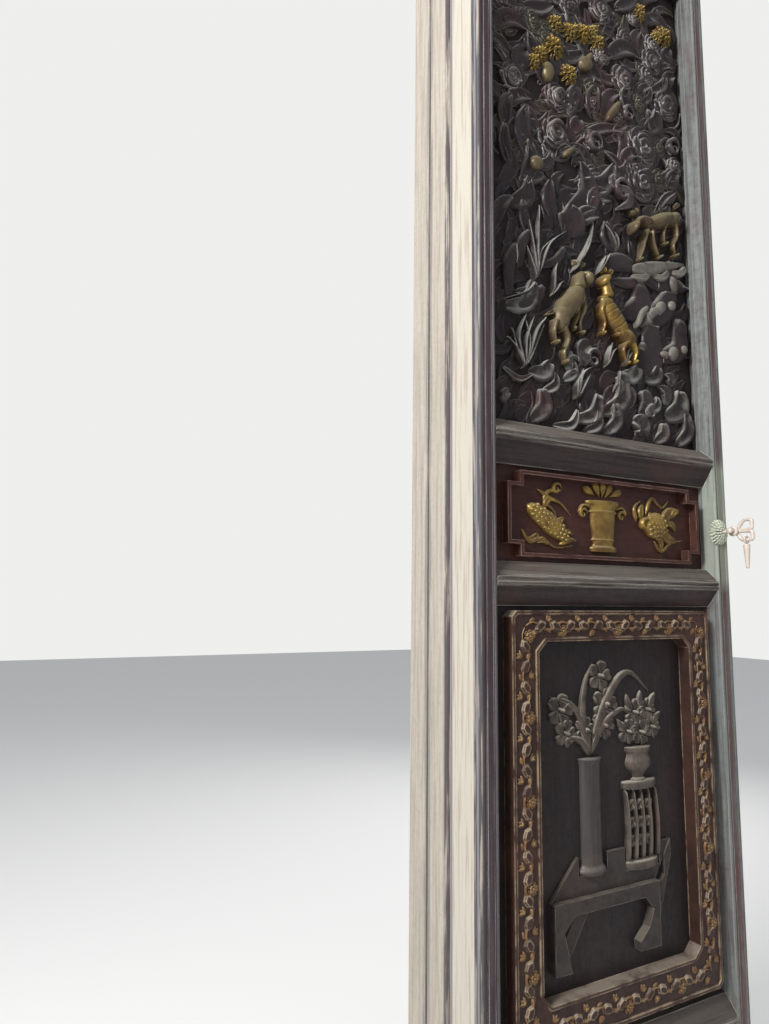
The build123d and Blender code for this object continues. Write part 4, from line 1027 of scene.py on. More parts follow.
@dataclass
class UpperPanel:
    """The deep carving of the upper field: deer among grasses, roses, chrysanthemums and rocks."""

    left: float = 46.0
    right: float = 594.0
    low: float = 1404.0
    high: float = 2485.0
    height: float = 30.0
    seen_depth: float = 20.0
    seed: int = 7
    edge_gap: float = 26.0
    low_margin: float = 22.0
    high_margin: float = 20.0
    side_margin: float = 24.0
    sides_short: float = 40.0
    leaf_pitch: Point = (37.0, 33.0)
    leaf_stray: float = 0.3
    shade_top: float = 0.46
    shade_height: float = 0.75
    rose_from: float = 0.5
    round_from: float = 29.0
    blade_width: float = 4.5
    swell: float = 5.0
    plank_lap: float = 7.0
    plank_gap: float = 2.0
    board: float = 24.0
    plank_joints: tuple[float, ...] = (38.5, 214.0, 402.0, 601.5)
    upright_to: float = 0.45
    upright_turns: Point = (20, 100)
    leaf_lengths: Point = (58, 100)
    leaf_widths: Point = (20, 34)
    leaf_heights: Point = (0.3, 0.62)
    leaf_bow: float = 0.26
    green_share: float = 0.3
    rose_share: float = 0.2
    rose_radii: Point = (24, 32)
    rose_rise: float = 7.0

    def _new(self, name: str) -> Carving:
        """A carving on the panel's ground whose places are as seen on the face's plane."""
        return Carving(name, CARVING_GROUND, self.seen_depth)

    def ground(self) -> None:
        """Carve the dark ground, and the closed board of planks behind it."""
        carving = Carving("panel_ground", CARVING_GROUND)
        carving.sheet(self.left, self.right, self.low, self.high, CARVING_GROUND, self.swell)
        carving.piece(CARVING_SHADE, "dark_carving", "upper_carving")
        planks = Carving("panel_planks")
        planks.planks(self.low - self.plank_lap, self.high + self.plank_lap, CARVING_GROUND + self.plank_gap,
                      BOARD_DEPTH + self.board, self.plank_joints)
        planks.piece(DARK_BOARD, "dark_board", "upper_carving", smooth=False)

    def undergrowth(self) -> None:
        """Carve the dense small leaves behind the larger forms, over the whole panel."""
        rng = np.random.default_rng(self.seed)
        dark, green = Carving("undergrowth", CARVING_GROUND), Carving("green_undergrowth", CARVING_GROUND)
        shade = Carving("low_undergrowth", CARVING_GROUND)
        low, high = self.low + self.low_margin, self.high - self.high_margin
        across, up = self.leaf_pitch
        stray = self.leaf_stray
        for row in range(round((high - low) / up)):
            for column in range(round((self.right - self.left - self.sides_short) / across)):
                place = column + 0.5 * (row % 2) + rng.uniform(-stray, stray)
                run = self.left + self.side_margin + place * across
                rise = low + (row + rng.uniform(-stray, stray)) * up
                share = (rise - low) / (high - low)
                turn = rng.uniform(*self.upright_turns) if share < self.upright_to else rng.uniform(0, 180)
                length, width = rng.uniform(*self.leaf_lengths), rng.uniform(*self.leaf_widths)
                height = self.height * rng.uniform(*self.leaf_heights)
                into = green if rng.random() < self.green_share else dark
                if share < self.shade_top:
                    into, height = shade, height * self.shade_height
                run = min(max(run, self.left + self.edge_gap), self.right - self.edge_gap)
                if share > self.rose_from and rng.random() < self.rose_share:
                    into.rose(run, rise, rng.uniform(*self.rose_radii), height + self.rose_rise,
                              rng.uniform(0, 90))
                    continue
                into.form(run, rise, length, width, turn, height, Outline.LEAF,
                          rng.choice((-self.leaf_bow, self.leaf_bow)), cup=0.62, curl=0.9, rows=12)
        dark.piece(DARK_CARVING, "dark_carving", "upper_carving")
        green.piece(LEAF_GREEN, "dark_carving", "upper_carving")
        shade.piece(UNDERGROWTH, "dark_carving", "upper_carving")

    def crescents(self) -> None:
        """Carve the scalloped rocks and leaf curls along the foot of the panel."""
        carving = self._new("rock_crescents")
        for foot, tip, width in (
            ((128, 1415), (149, 1470), 37), ((184, 1411), (237, 1445), 21), ((238, 1430), (290, 1482), 33),
            ((261, 1409), (290, 1452), 26), ((310, 1413), (334, 1469), 30), ((302, 1452), (355, 1538), 38),
            ((416, 1414), (389, 1441), 44), ((410, 1459), (415, 1507), 37), ((452, 1411), (470, 1447), 30),
            ((488, 1467), (525, 1524), 50), ((499, 1533), (488, 1555), 26), ((515, 1413), (538, 1477), 34),
            ((429, 1538), (460, 1567), 35), ((366, 1537), (403, 1557), 37), ((129, 1505), (170, 1527), 36),
            ((67, 1503), (129, 1500), 13), ((207, 1501), (227, 1541), 23), ((158, 1472), (183, 1509), 22),
            ((486, 1491), (465, 1525), 27), ((373, 1469), (365, 1514), 24), ((74, 1622), (130, 1677), 35),
            ((97, 1653), (130, 1675), 20), ((433, 1473), (457, 1503), 24), ((80, 1455), (66, 1434), 22),
            ((337, 1494), (345, 1526), 23), ((280, 1581), (259, 1537), 39), ((228, 1561), (224, 1531), 28)
        ):
            outline = Outline.OVAL if width > self.round_from else Outline.LEAF
            carving.lobe(
                foot, tip, 1.2, width, self.height * 0.85, outline, -0.26, cup=0.65, curl=0.6, rows=18,
                columns=11
            )
        for run, rise, radius in ((230, 1530, 20), (440, 1466, 17), (285, 1552, 22)):
            carving.spiral(run, rise, radius, self.height * 0.7, 1.4, 10)
        carving.piece(ROCK_LOBE, "dusty_carving", "upper_carving")

    def rocks(self) -> None:
        """Carve the rock lobes, mushrooms and the ledge right of the deer."""
        carving = self._new("rock_lobes")
        carving.forms((
            (366, 1764, 96, 44, 10, 0.1), (380, 1738, 84, 26, 14, -0.08), (398, 1706, 96, 60, 60, -0.3),
            (470, 1710, 150, 60, 42, -0.15), (500, 1640, 130, 50, 56, -0.3), (470, 1620, 96, 60, 100, 0.2),
            (528, 1760, 40, 120, 92, 0.1), (440, 1748, 80, 40, -10, 0.15), (130, 1650, 90, 28, 40, -0.12),
            (90, 1690, 120, 30, 80, 0.1), (118, 1740, 90, 26, 70, 0.1), (185, 1740, 90, 20, 42, -0.1),
            (430, 1590, 80, 80, 60, -0.2), (540, 1660, 60, 40, 80, 0.0), (512, 1790, 50, 20, 80, 0.1),
        ), self.height * 0.6, Outline.OVAL, cup=0.3, rows=16, columns=11)
        carving.piece(DARK_CARVING, "dark_carving", "upper_carving")
        pale = self._new("mushrooms_and_ledge")
        pale.strip([(392, 1766), (430, 1772), (480, 1789), (570, 1820)], 34, self.height * 0.9, Outline.LEAF,
                   cup=0.3, rows=26, columns=13)
        pale.forms(
            ((420, 1760, 54, 18, 20, -0.2), (478, 1776, 60, 18, 24, -0.2), (536, 1798, 54, 18, 28, -0.2)),
            self.height * 0.95, Outline.OVAL, cup=0.4,
        )
        for foot, tip, width in (
            ((428, 1651), (475, 1694), 22), ((466, 1681), (487, 1707), 27), ((502, 1716), (509, 1698), 22),
            ((469, 1595), (491, 1591), 15), ((503, 1587), (519, 1615), 28), ((535, 1624), (542, 1608), 16),
            ((406, 1642), (437, 1691), 15), ((446, 1655), (429, 1679), 14), ((523, 1743), (513, 1775), 22)
        ):
            pale.lobe(foot, tip, 1.15, width, self.height * 0.9, Outline.OVAL, 0.1, cup=0.25)
        pale.piece(PALE_LOBE, "dusty_carving", "upper_carving")

    def grasses(self) -> None:
        """Carve the tufts of grass, each blade with a groove along it."""
        carving = self._new("grass_tufts")
        for foot, blades in (
            ((139, 1679), (((171, 1757), (228, 1808)), ((144, 1770), (156, 1844)), ((133, 1743), (125, 1815)),
                           ((129, 1712), (114, 1762)), ((149, 1737), (196, 1785)),
                           ((112, 1650), (62, 1628)))),
            ((229, 1717), (((274, 1785), (297, 1860)), ((260, 1765), (290, 1826)),
                           ((248, 1742), (285, 1809)))),
            ((292, 1726), (((310, 1757), (329, 1781)), ((313, 1753), (343, 1791)))),
            ((350, 1790), (((336, 1823), (322, 1850)), ((352, 1818), (348, 1840)))),
            ((109, 1505), (((95, 1560), (125, 1624)), ((113, 1559), (141, 1617)), ((120, 1555), (114, 1611)),
                           ((137, 1578), (171, 1619)), ((130, 1543), (165, 1606)), ((91, 1535), (86, 1582)),
                           ((95, 1532), (74, 1563)))),
            ((233, 1463), (((249, 1515), (289, 1541)), ((236, 1498), (262, 1533)), ((256, 1499), (279, 1525)),
                           ((245, 1510), (272, 1533)))),
            ((312, 1540), (((322, 1574), (340, 1600)), ((328, 1570), (352, 1590)))),
            ((360, 1550), (((370, 1578), (392, 1600)), ((378, 1576), (404, 1596)))),
            ((180, 1660), (((184, 1706), (200, 1740)), ((196, 1684), (216, 1700)))),
        ):
            for via, tip in blades:
                carving.strip(
                    [foot, via, tip], self.blade_width, self.height * 0.95, Outline.BLADE, cup=0.3, rows=20,
                    columns=7
                )
        carving.piece(ROCK_LOBE, "dusty_carving", "upper_carving")

    def deer(self) -> None:
        """Carve the three deer: a dull gilded one each side and a bright ribbed one in the middle."""
        dull = self._new("gilded_deer")
        Deer(
            body=((436, 1868), (470, 1886), (505, 1903), (534, 1912)), body_width=37,
            neck=((446, 1876), (426, 1880), (412, 1872)), head=((416, 1878), (402, 1862), (395, 1840)),
            legs=(((440, 1864), (430, 1836), (424, 1812), (414, 1788)),
                  ((450, 1864), (456, 1836), (474, 1808)),
                  ((520, 1904), (528, 1870), (518, 1846), (524, 1824)),
                  ((500, 1896), (488, 1868), (492, 1842))),
            ears=((410, 1896, 120), (400, 1888, 150), (538, 1946, 66)),
        ).carve(dull, self.height)
        Deer(
            body=((250, 1694), (236, 1668), (208, 1634), (190, 1600)), body_width=48,
            neck=((244, 1684), (246, 1706), (254, 1722)), head=((244, 1718), (260, 1716), (272, 1696)),
            legs=(((244, 1686), (256, 1650), (244, 1618), (248, 1596)),
                  ((232, 1670), (238, 1632), (226, 1600)),
                  ((196, 1606), (212, 1578), (202, 1550), (206, 1532)),
                  ((184, 1612), (178, 1588), (184, 1566))),
            ears=((238, 1738, 110), (256, 1740, 70), (172, 1622, 200)),
        ).carve(dull, self.height)
        dull.piece(OLIVE_GILDING, "worn_gilding", "upper_carving")
        bright = self._new("ribbed_deer")
        Deer(
            body=((308, 1690), (322, 1660), (350, 1628), (378, 1598)), body_width=46,
            neck=((318, 1680), (314, 1706), (318, 1724)), head=((330, 1722), (314, 1722), (298, 1702)),
            legs=(((316, 1684), (300, 1656), (308, 1628), (302, 1606)),
                  ((330, 1668), (330, 1636), (340, 1610)),
                  ((368, 1604), (356, 1580), (366, 1556)),
                  ((380, 1604), (392, 1584), (388, 1562))),
            ears=((330, 1742, 70), (312, 1742, 110), (392, 1612, 20)), ribs=8,
        ).carve(bright, self.height * 1.05)
        bright.piece(GILDING, "worn_gilding", "upper_carving")

    def roses(self) -> None:
        """Carve the dark roses, scrolls and leaves above the deer."""
        carving = self._new("roses_and_leaves")
        for run, rise, radius in (
            (440, 1968, 48), (446, 2052, 52), (200, 2000, 40), (520, 2176, 38), (392, 2190, 40),
            (200, 2078, 34), (330, 2330, 36), (160, 2330, 34), (480, 2270, 34), (88, 2080, 30)
        ):
            carving.rose(run, rise, radius, self.height, run)
        for run, rise, radius in (
            (200, 2000, 26), (372, 1930, 26), (300, 2010, 24), (92, 2072, 22), (208, 2076, 20),
            (520, 2176, 20), (536, 2080, 22), (398, 2110, 20)
        ):
            carving.spiral(run, rise, radius, self.height * 1.0, 1.5, 10)
        carving.strip(
            [(352, 1884), (388, 1904), (388, 1930), (352, 1932), (346, 1950), (366, 1962), (388, 1952)], 22,
            self.height, Outline.BLADE, cup=0.4, rows=50
        )
        rng = np.random.default_rng(self.seed)
        for run, rise, length, width, turn, bow in (
            (140, 1980, 130, 36, 100, 0.15), (240, 1900, 150, 50, 72, -0.2), (226, 1830, 70, 60, 80, -0.1),
            (190, 1860, 90, 30, 96, 0.1), (106, 1856, 90, 34, 58, -0.15), (300, 1950, 150, 40, 36, -0.15),
            (290, 1984, 120, 26, 40, 0.15), (220, 1966, 50, 18, 38, 0.1), (320, 1880, 80, 40, 40, 0.2),
            (512, 1948, 110, 16, 46, 0.06), (520, 1920, 90, 26, 20, -0.1), (470, 1902, 96, 30, 26, -0.15),
            (330, 2040, 190, 22, 26, 0.06), (110, 2036, 90, 28, 30, 0.1), (530, 2070, 60, 36, 60, 0.2),
            (356, 2120, 100, 30, 58, 0.12), (308, 2110, 80, 34, 84, 0.1), (254, 2040, 40, 30, 60, 0.0),
            (470, 2130, 80, 36, 60, -0.15), (410, 2150, 70, 30, 110, 0.2), (460, 2180, 80, 22, 60, 0.15),
            (340, 2210, 80, 18, 50, 0.1), (400, 2250, 110, 36, 20, 0.12), (345, 2310, 90, 24, 80, -0.1),
            (440, 2300, 90, 26, 70, 0.1), (500, 2230, 80, 24, 50, -0.12), (250, 2330, 90, 30, 30, 0.15),
            (90, 2180, 110, 34, 20, 0.15), (150, 2170, 70, 26, 120, 0.1), (120, 2130, 60, 40, 70, 0.1),
            (300, 2160, 60, 40, 10, 0.15), (180, 2120, 40, 50, 90, 0.0), (250, 2200, 80, 26, 30, -0.1),
            (90, 2260, 110, 34, 60, 0.15), (160, 2270, 90, 30, 24, -0.1), (210, 2390, 110, 34, 40, 0.15),
            (90, 2380, 96, 34, 70, -0.15), (300, 2400, 110, 34, 20, 0.12), (400, 2400, 96, 32, 60, -0.15),
            (480, 2420, 90, 32, 30, 0.1), (540, 2300, 70, 36, 80, 0.1), (540, 2240, 60, 30, 60, 0.15),
            (120, 1920, 110, 30, 80, -0.1), (80, 1940, 90, 26, 100, 0.1), (84, 2010, 80, 30, 80, 0.12),
            (410, 2010, 80, 26, 30, 0.15), (500, 2010, 90, 26, 40, -0.1), (540, 2000, 70, 36, 70, 0.1),
            (350, 1830, 70, 40, 130, 0.2), (280, 1840, 80, 34, 30, 0.1), (384, 2070, 70, 24, 50, 0.1),
            (260, 2100, 60, 40, 100, 0.1), (130, 1800, 90, 24, 110, 0.1), (70, 1800, 90, 26, 60, 0.1)
        ):
            carving.form(
                run, rise, length, width * 1.2, turn, self.height * rng.uniform(0.6, 0.95), Outline.LEAF,
                bow * 1.4, cup=0.66, curl=0.8, rows=18, columns=11
            )
        carving.piece(DARK_CARVING, "dark_carving", "upper_carving")

    def chrysanthemums(self) -> None:
        """Carve the gilded chrysanthemums."""
        carving = self._new("gilded_chrysanthemums")
        for run, rise, radius in (
            (196, 2190, 30), (160, 2158, 20), (142, 2134, 20), (200, 2242, 22), (238, 2240, 22),
            (272, 2252, 26), (316, 2246, 24), (304, 2268, 16), (236, 2144, 24), (444, 2376, 24),
            (522, 2350, 28), (500, 2338, 16)
        ):
            carving.flower(run, rise, radius, self.height * 0.95, (11, 9, 6), narrow=0.72)
        carving.piece(GILDING, "worn_gilding", "upper_carving")
        bud = self._new("gilded_buds")
        bud.forms(
            ((280, 2182, 40, 34, 30), (288, 2198, 30, 14, 60), (178, 2124, 44, 30, 90),
            (356, 2104, 70, 20, 56), (146, 1918, 30, 34, 60), (228, 1968, 40, 14, 40)), self.height * 0.9,
            Outline.OVAL, cup=0.2
        )
        bud.piece(OLIVE_GILDING, "worn_gilding", "upper_carving")

    def build(self) -> None:
        """Build the whole panel."""
        for step in (
            self.ground, self.undergrowth, self.crescents, self.rocks, self.grasses, self.deer, self.roses,
            self.chrysanthemums
        ):
            step()


@dataclass
class VineBorder:
    """The running vine on the lower field's border."""

    left: float = 70.0
    right: float = 570.0
    low: float = 350.0
    high: float = 1065.0
    side_width: float = 58.0
    low_width: float = 67.0
    high_width: float = 54.0
    front_depth: float = 8.0
    pitch: float = 34.0
    sway: float = 7.0
    stem: float = 5.0
    height: float = 4.5
    floret_reach: float = 9.0
    flower_radius: float = 12.0
    flower_height: float = 5.5
    leaf_reach: float = 5.0
    leaf_length: float = 15.0
    leaf_width: float = 7.0
    leaf_turn: float = 60.0
    leaf_lean: float = 40.0
    back_length: float = 16.0
    back_width: float = 8.0
    back_turn: float = 30.0
    back_height: float = 4.0

    def bands(self) -> list[tuple[Point, Point]]:
        """Find the middle lines of the four bands.

        Returns:
            The start and end of each.
        """
        left, right = self.left + self.side_width / 2, self.right - self.side_width / 2
        low, high = self.low + self.low_width / 2, self.high - self.high_width / 2
        return [((left, low), (right, low)), ((left, high), (right, high)), ((left, low), (left, high)),
                ((right, low), (right, high))]

    def build(self) -> None:
        """Build the vine with its florets as one gilded piece over the border."""
        vine = Carving("border_vine", self.front_depth)
        for start, end in self.bands():
            span = math.dist(start, end)
            count = round(span / self.pitch)
            way = ((end[0] - start[0]) / span, (end[1] - start[1]) / span)
            side = (-way[1], way[0])
            wave = []
            for step in range(4 * count + 1):
                along = span * step / (4 * count)
                sway = self.sway * math.sin(step * math.pi / 4)
                wave.append(tuple(start[k] + way[k] * along + side[k] * sway for k in (0, 1)))
            vine.strip(wave, self.stem, self.height, Outline.LIMB, rows=10 * count, columns=5)
            for step in range(count):
                along = span * (step + 0.5) / count
                flip = 1 if step % 2 else -1
                spot = tuple(start[k] + way[k] * along + side[k] * self.floret_reach * flip for k in (0, 1))
                heading = math.degrees(math.atan2(way[1], way[0]))
                if step % 4 == 2:
                    vine.flower(*spot, self.flower_radius, self.flower_height, (5, 4))
                    continue
                for lean in (-self.leaf_lean, 0, self.leaf_lean):
                    turn = heading + flip * self.leaf_turn + lean
                    vine.form(*around(*spot, self.leaf_reach, turn), self.leaf_length, self.leaf_width, turn,
                              self.height, Outline.LEAF, cup=0.4, rows=7, columns=5)
                back = [spot[k] - side[k] * 2 * self.floret_reach * flip for k in (0, 1)]
                vine.form(*back, self.back_length, self.back_width, heading - flip * self.back_turn,
                          self.back_height, Outline.LEAF, 0.15, cup=0.4, rows=7, columns=5)
        vine.piece(VINE, "worn_gilding")


@dataclass
class StillLife:
    """Vase, flowers, table, stool and pot inside the border."""

    vase: float = 262.0
    stool: float = 385.0
    vase_sections: tuple[Point, ...] = (
        (600, 29), (606, 32), (616, 25), (660, 24), (740, 24), (786, 24), (799, 27))
    pot_sections: tuple[Point, ...] = ((749, 20), (754, 14), (776, 32), (796, 28), (802, 33), (809, 33))

    def vases(self) -> None:
        """Carve the tall vase, the stool and the pot."""
        for name, run, sections, squash, flutes, node in (
            ("tall_vase", self.vase, self.vase_sections, 0.62, 0, "tall_vase_relief"),
            ("flower_pot", self.stool, self.pot_sections, 0.55, 9, "pot_relief"),
        ):
            carving = Carving(name)
            carving.vessel(run, sections, squash, flutes)
            carving.piece(VASE if run == self.vase else DUSTY, "dusty_carving", node)
        stool = Carving("openwork_stool")
        for low in (592, 734):
            stool.vessel(self.stool, ((low, 42), (low + 3, 44), (low + 11, 44), (low + 14, 42)), 0.4)
        for turn in range(5):
            run = self.stool - 38 + 19 * turn
            stool.strip([(run, 604), (run + 5, 670), (run, 736)], 9, 14, Outline.LIMB, rows=18)
        for rise in (640, 672, 704):
            for side in (-22, 0, 22):
                stool.form(self.stool + side, rise, 24, 15, 45, 12, Outline.OVAL, cup=0.7)
        stool.piece(DUSTY, "dusty_carving", "stool_relief")

    def bouquet(self) -> None:
        """Carve the vase's arching leaves and blossoms."""
        carving = Carving("vase_bouquet")
        for course, width in (
            (((250, 850), (220, 896), (170, 912)), 16), (((246, 870), (254, 930), (276, 968)), 15),
            (((300, 890), (360, 948), (424, 908)), 18), (((290, 850), (340, 880), (372, 866)), 14),
            (((240, 830), (214, 836), (196, 826)), 12),
        ):
            carving.strip([(self.vase, 800), *course], width, 12, Outline.BLADE, cup=0.4, ridge=0.15, rows=30)
        for run, rise, radius in (
            (292, 944, 25), (195, 887, 26), (304, 892, 27), (206, 846, 22), (298, 854, 24), (252, 850, 20)
        ):
            carving.flower(run, rise, radius * 1.15, 15, (5,), narrow=1.05, twist=16)
        carving.piece(DUSTY, "dusty_carving", "bouquet_relief")
        pot = Carving("pot_flowers")
        for run, rise, radius in (
            (360, 838, 22), (396, 834, 24), (426, 842, 20), (380, 872, 24), (414, 876, 20)
        ):
            pot.flower(run, rise, radius * 1.1, 14, (5,), narrow=1.05, twist=16)
        for run, rise, turn in (
            (346, 852, 140), (440, 858, 40), (398, 896, 90), (366, 892, 110), (430, 892, 60)
        ):
            pot.form(run, rise, 34, 14, turn, 9, Outline.LEAF, 0.1, cup=0.4)
        pot.piece(DUSTY, "dusty_carving", "pot_flowers_relief")

    def build(self) -> None:
        """Build the still life; the table keeps its solid."""
        self.vases()
        self.bouquet()
        frame["nodes"]["table_relief"].data.materials.clear()
        frame["nodes"]["table_relief"].data.materials.append(TABLE.material())


@dataclass
class SmallReliefs:
    """The gilded reliefs of the waist and the two strips."""

    strip_rise: float = 2677.0
    grain_pitch: float = 9.0
    grain_cover: float = 0.78
    grain_shift: float = 0.25
    grain_length: float = 8.5
    grain_width: float = 7.0
    grain_stand: float = 2.0
    ribbon_width: float = 7.0
    ribbon_height: float = 8.0

    def netted(self, into: Carving, foot: Point, tip: Point, width: float, height: float) -> None:
        """Carve a rounded fruit whose skin is covered with grains.

        Args:
            into: the carving it belongs to.
            foot: one end.
            tip: the other end.
            width: across.
            height: how far it stands off the board.
        """
        into.strip([foot, tip], width, height, Outline.OVAL, rows=26, columns=15)
        span = math.dist(foot, tip)
        way = ((tip[0] - foot[0]) / span, (tip[1] - foot[1]) / span)
        turn = math.degrees(math.atan2(way[1], way[0]))
        rows = round(span / self.grain_pitch)
        for row in range(1, rows):
            along = span * row / rows
            reach = width / 2 * math.sqrt(max(1 - (2 * row / rows - 1) ** 2, 0)) * self.grain_cover
            count = max(round(2 * reach / self.grain_pitch), 1)
            for step in range(count + 1):
                side = reach * (2 * (step + self.grain_shift * (row % 2)) / count - 1)
                if abs(side) > reach:
                    continue
                stand = height * math.sqrt(max(1 - (2 * side / width) ** 2, 0.1)) + self.grain_stand
                spot = foot[0] + way[0] * along - way[1] * side, foot[1] + way[1] * along + way[0] * side
                into.form(*spot, self.grain_length, self.grain_width, turn, stand, Outline.OVAL, rows=6,
                          columns=5)

    def waist(self) -> None:
        """Carve the ribboned gourd, the eared vase and the ribboned fruit."""
        gourd = Carving("ribboned_gourd")
        self.netted(gourd, (126, 1256), (222, 1196), 40, 13)
        gourd.form(222, 1190, 46, 14, 12, 9, Outline.LEAF, 0.1)
        for course in (((212, 1288), (176, 1284), (166, 1264), (186, 1250), (198, 1232)),
                       ((112, 1212), (128, 1188), (158, 1196), (190, 1180), (238, 1186)),
                       ((150, 1286), (176, 1272), (206, 1262), (232, 1240))):
            gourd.strip(course, self.ribbon_width, self.ribbon_height, Outline.BLADE, cup=0.4, rows=36,
                        columns=7)
        for run, rise, turn in (
            (176, 1262, 40), (206, 1226, 60), (136, 1200, 200), (220, 1204, 10), (160, 1186, -10)
        ):
            gourd.form(run, rise, 30, 12, turn, 10, Outline.LEAF, 0.2, cup=0.6)
        gourd.spiral(196, 1290, 12, 9, 1.3, 6)
        gourd.piece(GILDING, "worn_gilding", "gourd_relief")
        vase = Carving("eared_vase")
        vase.vessel(
            311, ((1176, 33), (1184, 34), (1188, 27), (1196, 27), (1199, 31), (1202, 28), (1220, 30),
            (1240, 32), (1250, 33), (1253, 37), (1257, 34), (1263, 36), (1268, 43), (1274, 43)), 0.42
        )
        for run, rise in ((298, 1226), (311, 1236), (324, 1226), (311, 1216), (311, 1226)):
            vase.form(run, rise, 16, 9, 90, 17, Outline.OVAL, cup=0.4, rows=8, columns=7)
        for side in (-1, 1):
            vase.spiral(311 + side * 50, 1248, 11, 9, 1.2, 6)
            vase.strip([(311 + side * 34, 1262), (311 + side * 52, 1264), (311 + side * 62, 1250)], 7, 9,
                       Outline.LIMB)
        for run, rise, turn in (
            (276, 1292, 155), (296, 1296, 120), (311, 1298, 90), (326, 1296, 60), (346, 1292, 25)
        ):
            vase.form(run, rise, 34, 15, turn, 11, Outline.DROP, cup=0.3)
        vase.piece(GILDING, "worn_gilding", "waist_vase_relief")
        fruit = Carving("ribboned_fruit")
        self.netted(fruit, (424, 1226), (486, 1244), 56, 14)
        for run, rise, turn in (
            (448, 1250, 120), (500, 1234, -30), (516, 1262, 30), (462, 1200, -60), (420, 1262, 80)
        ):
            fruit.form(run, rise, 34, 13, turn, 12, Outline.LEAF, 0.2, cup=0.6)
        fruit.form(502, 1256, 60, 24, 24, 13, Outline.LEAF, 0.16, cup=0.6)
        fruit.form(494, 1218, 54, 22, -24, 12, Outline.LEAF, -0.16, cup=0.6)
        for course in (
            ((426, 1250), (446, 1290), (476, 1274), (500, 1292)),
            ((450, 1206), (468, 1184), (500, 1202), (538, 1210)), ((402, 1240), (398, 1268), (418, 1286)),
        ):
            fruit.strip(course, self.ribbon_width, self.ribbon_height, Outline.BLADE, cup=0.4, rows=36,
                        columns=7)
        fruit.spiral(424, 1236, 14, 17, 1.4, 7)
        fruit.piece(GILDING, "worn_gilding", "fruit_relief")

    def strips(self) -> None:
        """Carve the vessels of the top strip and the things of the bottom strip."""
        mid = self.strip_rise
        for name, run, width in (("censer", 164.0, 42.0), ("ewer", 288.0, 33.0), ("jar", 446.0, 24.0)):
            carving = Carving(name)
            carving.vessel(run, ((mid - 50, width * 0.6), (mid - 42, width * 0.4), (mid - 10, width),
                                 (mid + 20, width * 0.6), (mid + 30, width * 0.75)), 0.4, 7)
            carving.flower(run, mid + 40, width * 0.5, 9, (5, 4))
            carving.piece(GILDING, "worn_gilding", f"{name}_relief")
        rock = Carving("flowering_rock")
        rock.forms(((175, 134, 112, 44, 0, 0.08), (156, 172, 60, 44, 30, 0.08), (200, 166, 54, 44, -30, 0.08),
                    (176, 156, 60, 30, 80, 0.08)), 14, Outline.OVAL, cup=0.15)
        rock.flower(176, 212, 26, 11, (6, 5, 3))
        rock.flower(140, 204, 18, 10, (5, 4))
        rock.piece(DUSTY, "dusty_carving", "rock_relief")
        basin = Carving("footed_basin")
        basin.vessel(311, ((112, 30), (120, 22), (134, 34), (156, 56), (168, 62), (176, 62)), 0.22, 8)
        for run in (280, 312, 344):
            basin.flower(run, 198, 20, 10, (5, 4))
        basin.piece(DUSTY, "dusty_carving", "basin_relief")
        scrolls = Carving("tied_scrolls")
        for run, rise in ((425, 168), (458, 176), (492, 168)):
            scrolls.strip(
                [(run + 6, rise - 60), (run, rise), (run - 6, rise + 60)], 30, 12, Outline.LIMB, rows=26
            )
        scrolls.form(458, 112, 100, 20, 0, 13, Outline.OVAL)
        scrolls.strip([(412, 150), (458, 158), (506, 150)], 9, 14, Outline.LIMB)
        scrolls.piece(DUSTY, "dusty_carving", "scroll_relief")

    def build(self) -> None:
        """Build all the small reliefs."""
        self.waist()
        self.strips()


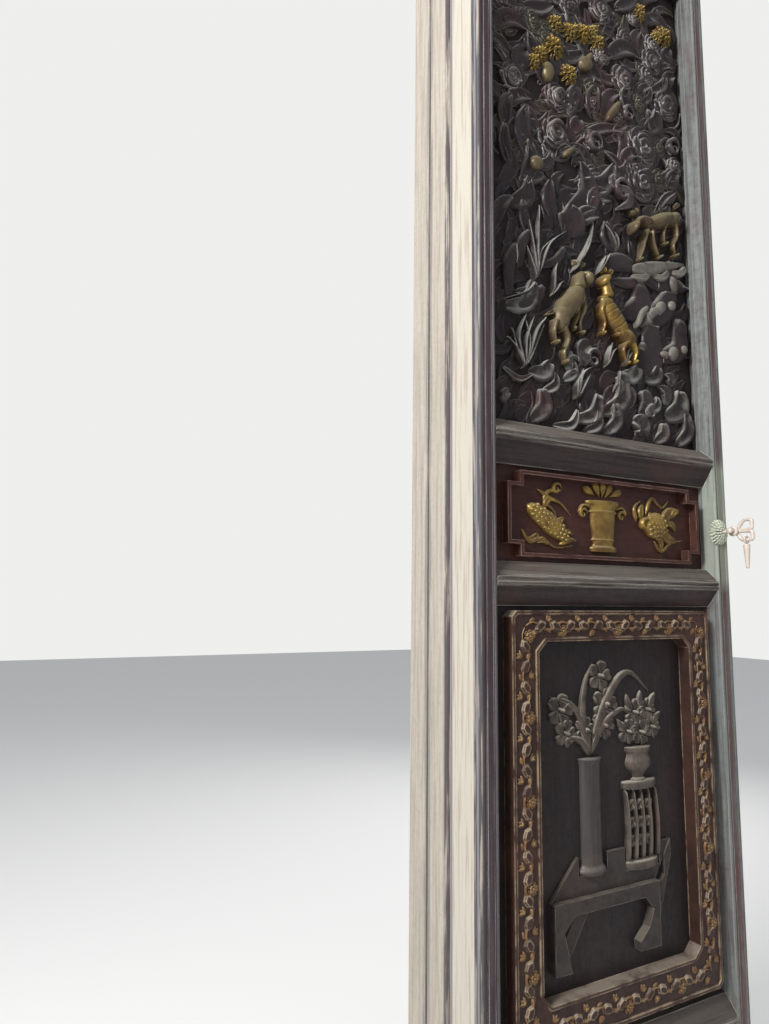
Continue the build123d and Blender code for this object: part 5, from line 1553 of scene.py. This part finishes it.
@dataclass
class Pull:
    """The flower boss, its eye, the bow of two loops and the drop."""

    run: float = 611.0
    rise: float = 1229.0
    boss_radius: float = 28.5
    boss_height: float = 18.0
    eye_out: float = 33.0
    eye_ring: float = 7.5
    eye_rod: float = 3.4
    bow_rod: float = 3.8
    bow_run: float = 619.2
    drop_out: float = 56.0
    drop_length: float = 58.0
    drop_hang: float = 19.0
    shank_rod: float = 2.9
    link_ring: float = 6.4
    link_rod: float = 2.2
    corner: float = 4.6
    shank_sink: float = 20.0
    stem_back: float = 14.0
    stem_radii: tuple[float, ...] = (5.8, 6.0, 3.8, 3.8, 3.8, 3.8, 3.8, 3.8)
    boss_rings: tuple[Place, ...] = ((22, 1.0, 0.42), (18, 0.8, 0.68), (13, 0.58, 0.88), (8, 0.34, 1.0))
    petal_length: float = 0.86
    petal_width: float = 2.9
    petal_lap: float = 1.25
    drop_places: Place = (9, 20, 58)
    drop_radii: Place = (6.6, 6.2, 3.4)
    upper_loop: tuple[Point, ...] = ((0, 0), (20, 23), (37, 21), (36, 3))
    lower_loop: tuple[Point, ...] = ((0, 0), (37, -2), (37, -19), (14, -19))

    def boss(self) -> None:
        """Carve the chrysanthemum boss in rings of narrow petals."""
        carving = Carving("flower_boss", 0.5)
        for ring, (petals, share, rise) in enumerate(self.boss_rings):
            reach = self.boss_radius * share
            wide = self.petal_width * reach / petals * self.petal_lap
            for petal in range(petals):
                angle = 360 / petals * (petal + 0.5 * (ring % 2))
                spot = around(self.run, self.rise, PETAL_CENTRE * reach, angle)
                carving.form(*spot, reach * self.petal_length, wide, angle, self.boss_height * rise,
                             Outline.DROP, cup=0.3, rows=8, columns=5)
        carving.piece(PALE_METAL, "pale_metal", "boss_plate")

    def forged(self) -> None:
        """Forge the eye, the bow and the drop as round rods."""
        turn = np.linspace(0, 2 * np.pi, 40, endpoint=False)
        eye = Carving("forged_eye")
        ring = _line(self.run, self.rise + self.eye_ring * np.sin(turn),
                     self.eye_out + self.eye_ring * np.cos(turn))
        eye.rod(ring, self.eye_rod, closed=True)
        shank = _line(self.run, self.rise, np.linspace(-self.shank_sink, self.eye_out - self.eye_ring, 8))
        eye.rod(shank, self.shank_rod)
        eye.piece(PALE_ROD, "pale_metal", "pull_eye")
        bow = Carving("two_loop_bow")
        for loop in (self.upper_loop, self.lower_loop):
            path = _rounded(np.array(loop, float), self.corner)
            course = _line(self.bow_run, self.rise + path[:, 1], self.eye_out + path[:, 0])
            bow.rod(course, self.bow_rod, closed=True)
        stem = np.linspace(self.run - self.stem_back, self.bow_run, len(self.stem_radii))
        bow.rod(_line(stem, self.rise, self.eye_out), np.array(self.stem_radii))
        bow.piece(PALE_ROD, "pale_metal", "pull_bow", body="bow")
        drop = Carving("hanging_drop")
        low = np.linspace(self.drop_length, self.drop_places[0], 24)
        radii = np.interp(low, self.drop_places, self.drop_radii)
        radii[0] = self.link_rod
        top = self.rise - self.drop_hang
        drop.rod(_line(self.bow_run, top - low, self.drop_out), radii)
        link = _line(self.bow_run + self.link_ring * np.cos(turn), top + self.link_ring * np.sin(turn),
                     self.drop_out)
        drop.rod(link, self.link_rod, closed=True)
        drop.piece(PALE_ROD, "pale_metal", "pull_drop", body="drop")

    def build(self) -> None:
        """Build the pull."""
        self.boss()
        self.forged()


def _line(run: np.ndarray | float, rise: np.ndarray | float, out: np.ndarray | float) -> np.ndarray:
    """Points across and up the leaf, and as far out in front of its face."""
    return np.column_stack(np.broadcast_arrays(run, rise, -np.asarray(out)))


def _rounded(corners: np.ndarray, radius: float) -> np.ndarray:
    """Points round a closed outline with its corners rounded.

    Args:
        corners: the outline's corners.
        radius: how far from a corner the rounding starts.

    Returns:
        The points in order.
    """
    path = []
    count = len(corners)
    for index, corner in enumerate(corners):
        before = corners[index - 1] - corner
        after = corners[(index + 1) % count] - corner
        start = corner + before / np.linalg.norm(before) * radius
        end = corner + after / np.linalg.norm(after) * radius
        for share in np.linspace(0, 1, CORNER_STEPS):
            path.append((1 - share) ** 2 * start + 2 * share * (1 - share) * corner + share**2 * end)
    return np.array(path)


def main() -> None:
    """Build the studio, dress the woodwork and build each sub-assembly in order."""
    logging.basicConfig(level=logging.INFO, format="%(message)s")
    Studio().build()
    Woodwork().dress()
    for assembly in (UpperPanel(), VineBorder(), StillLife(), SmallReliefs(), Pull()):
        LOG.info("building %s", type(assembly).__name__)
        assembly.build()


if __name__ == "__main__":
    main()
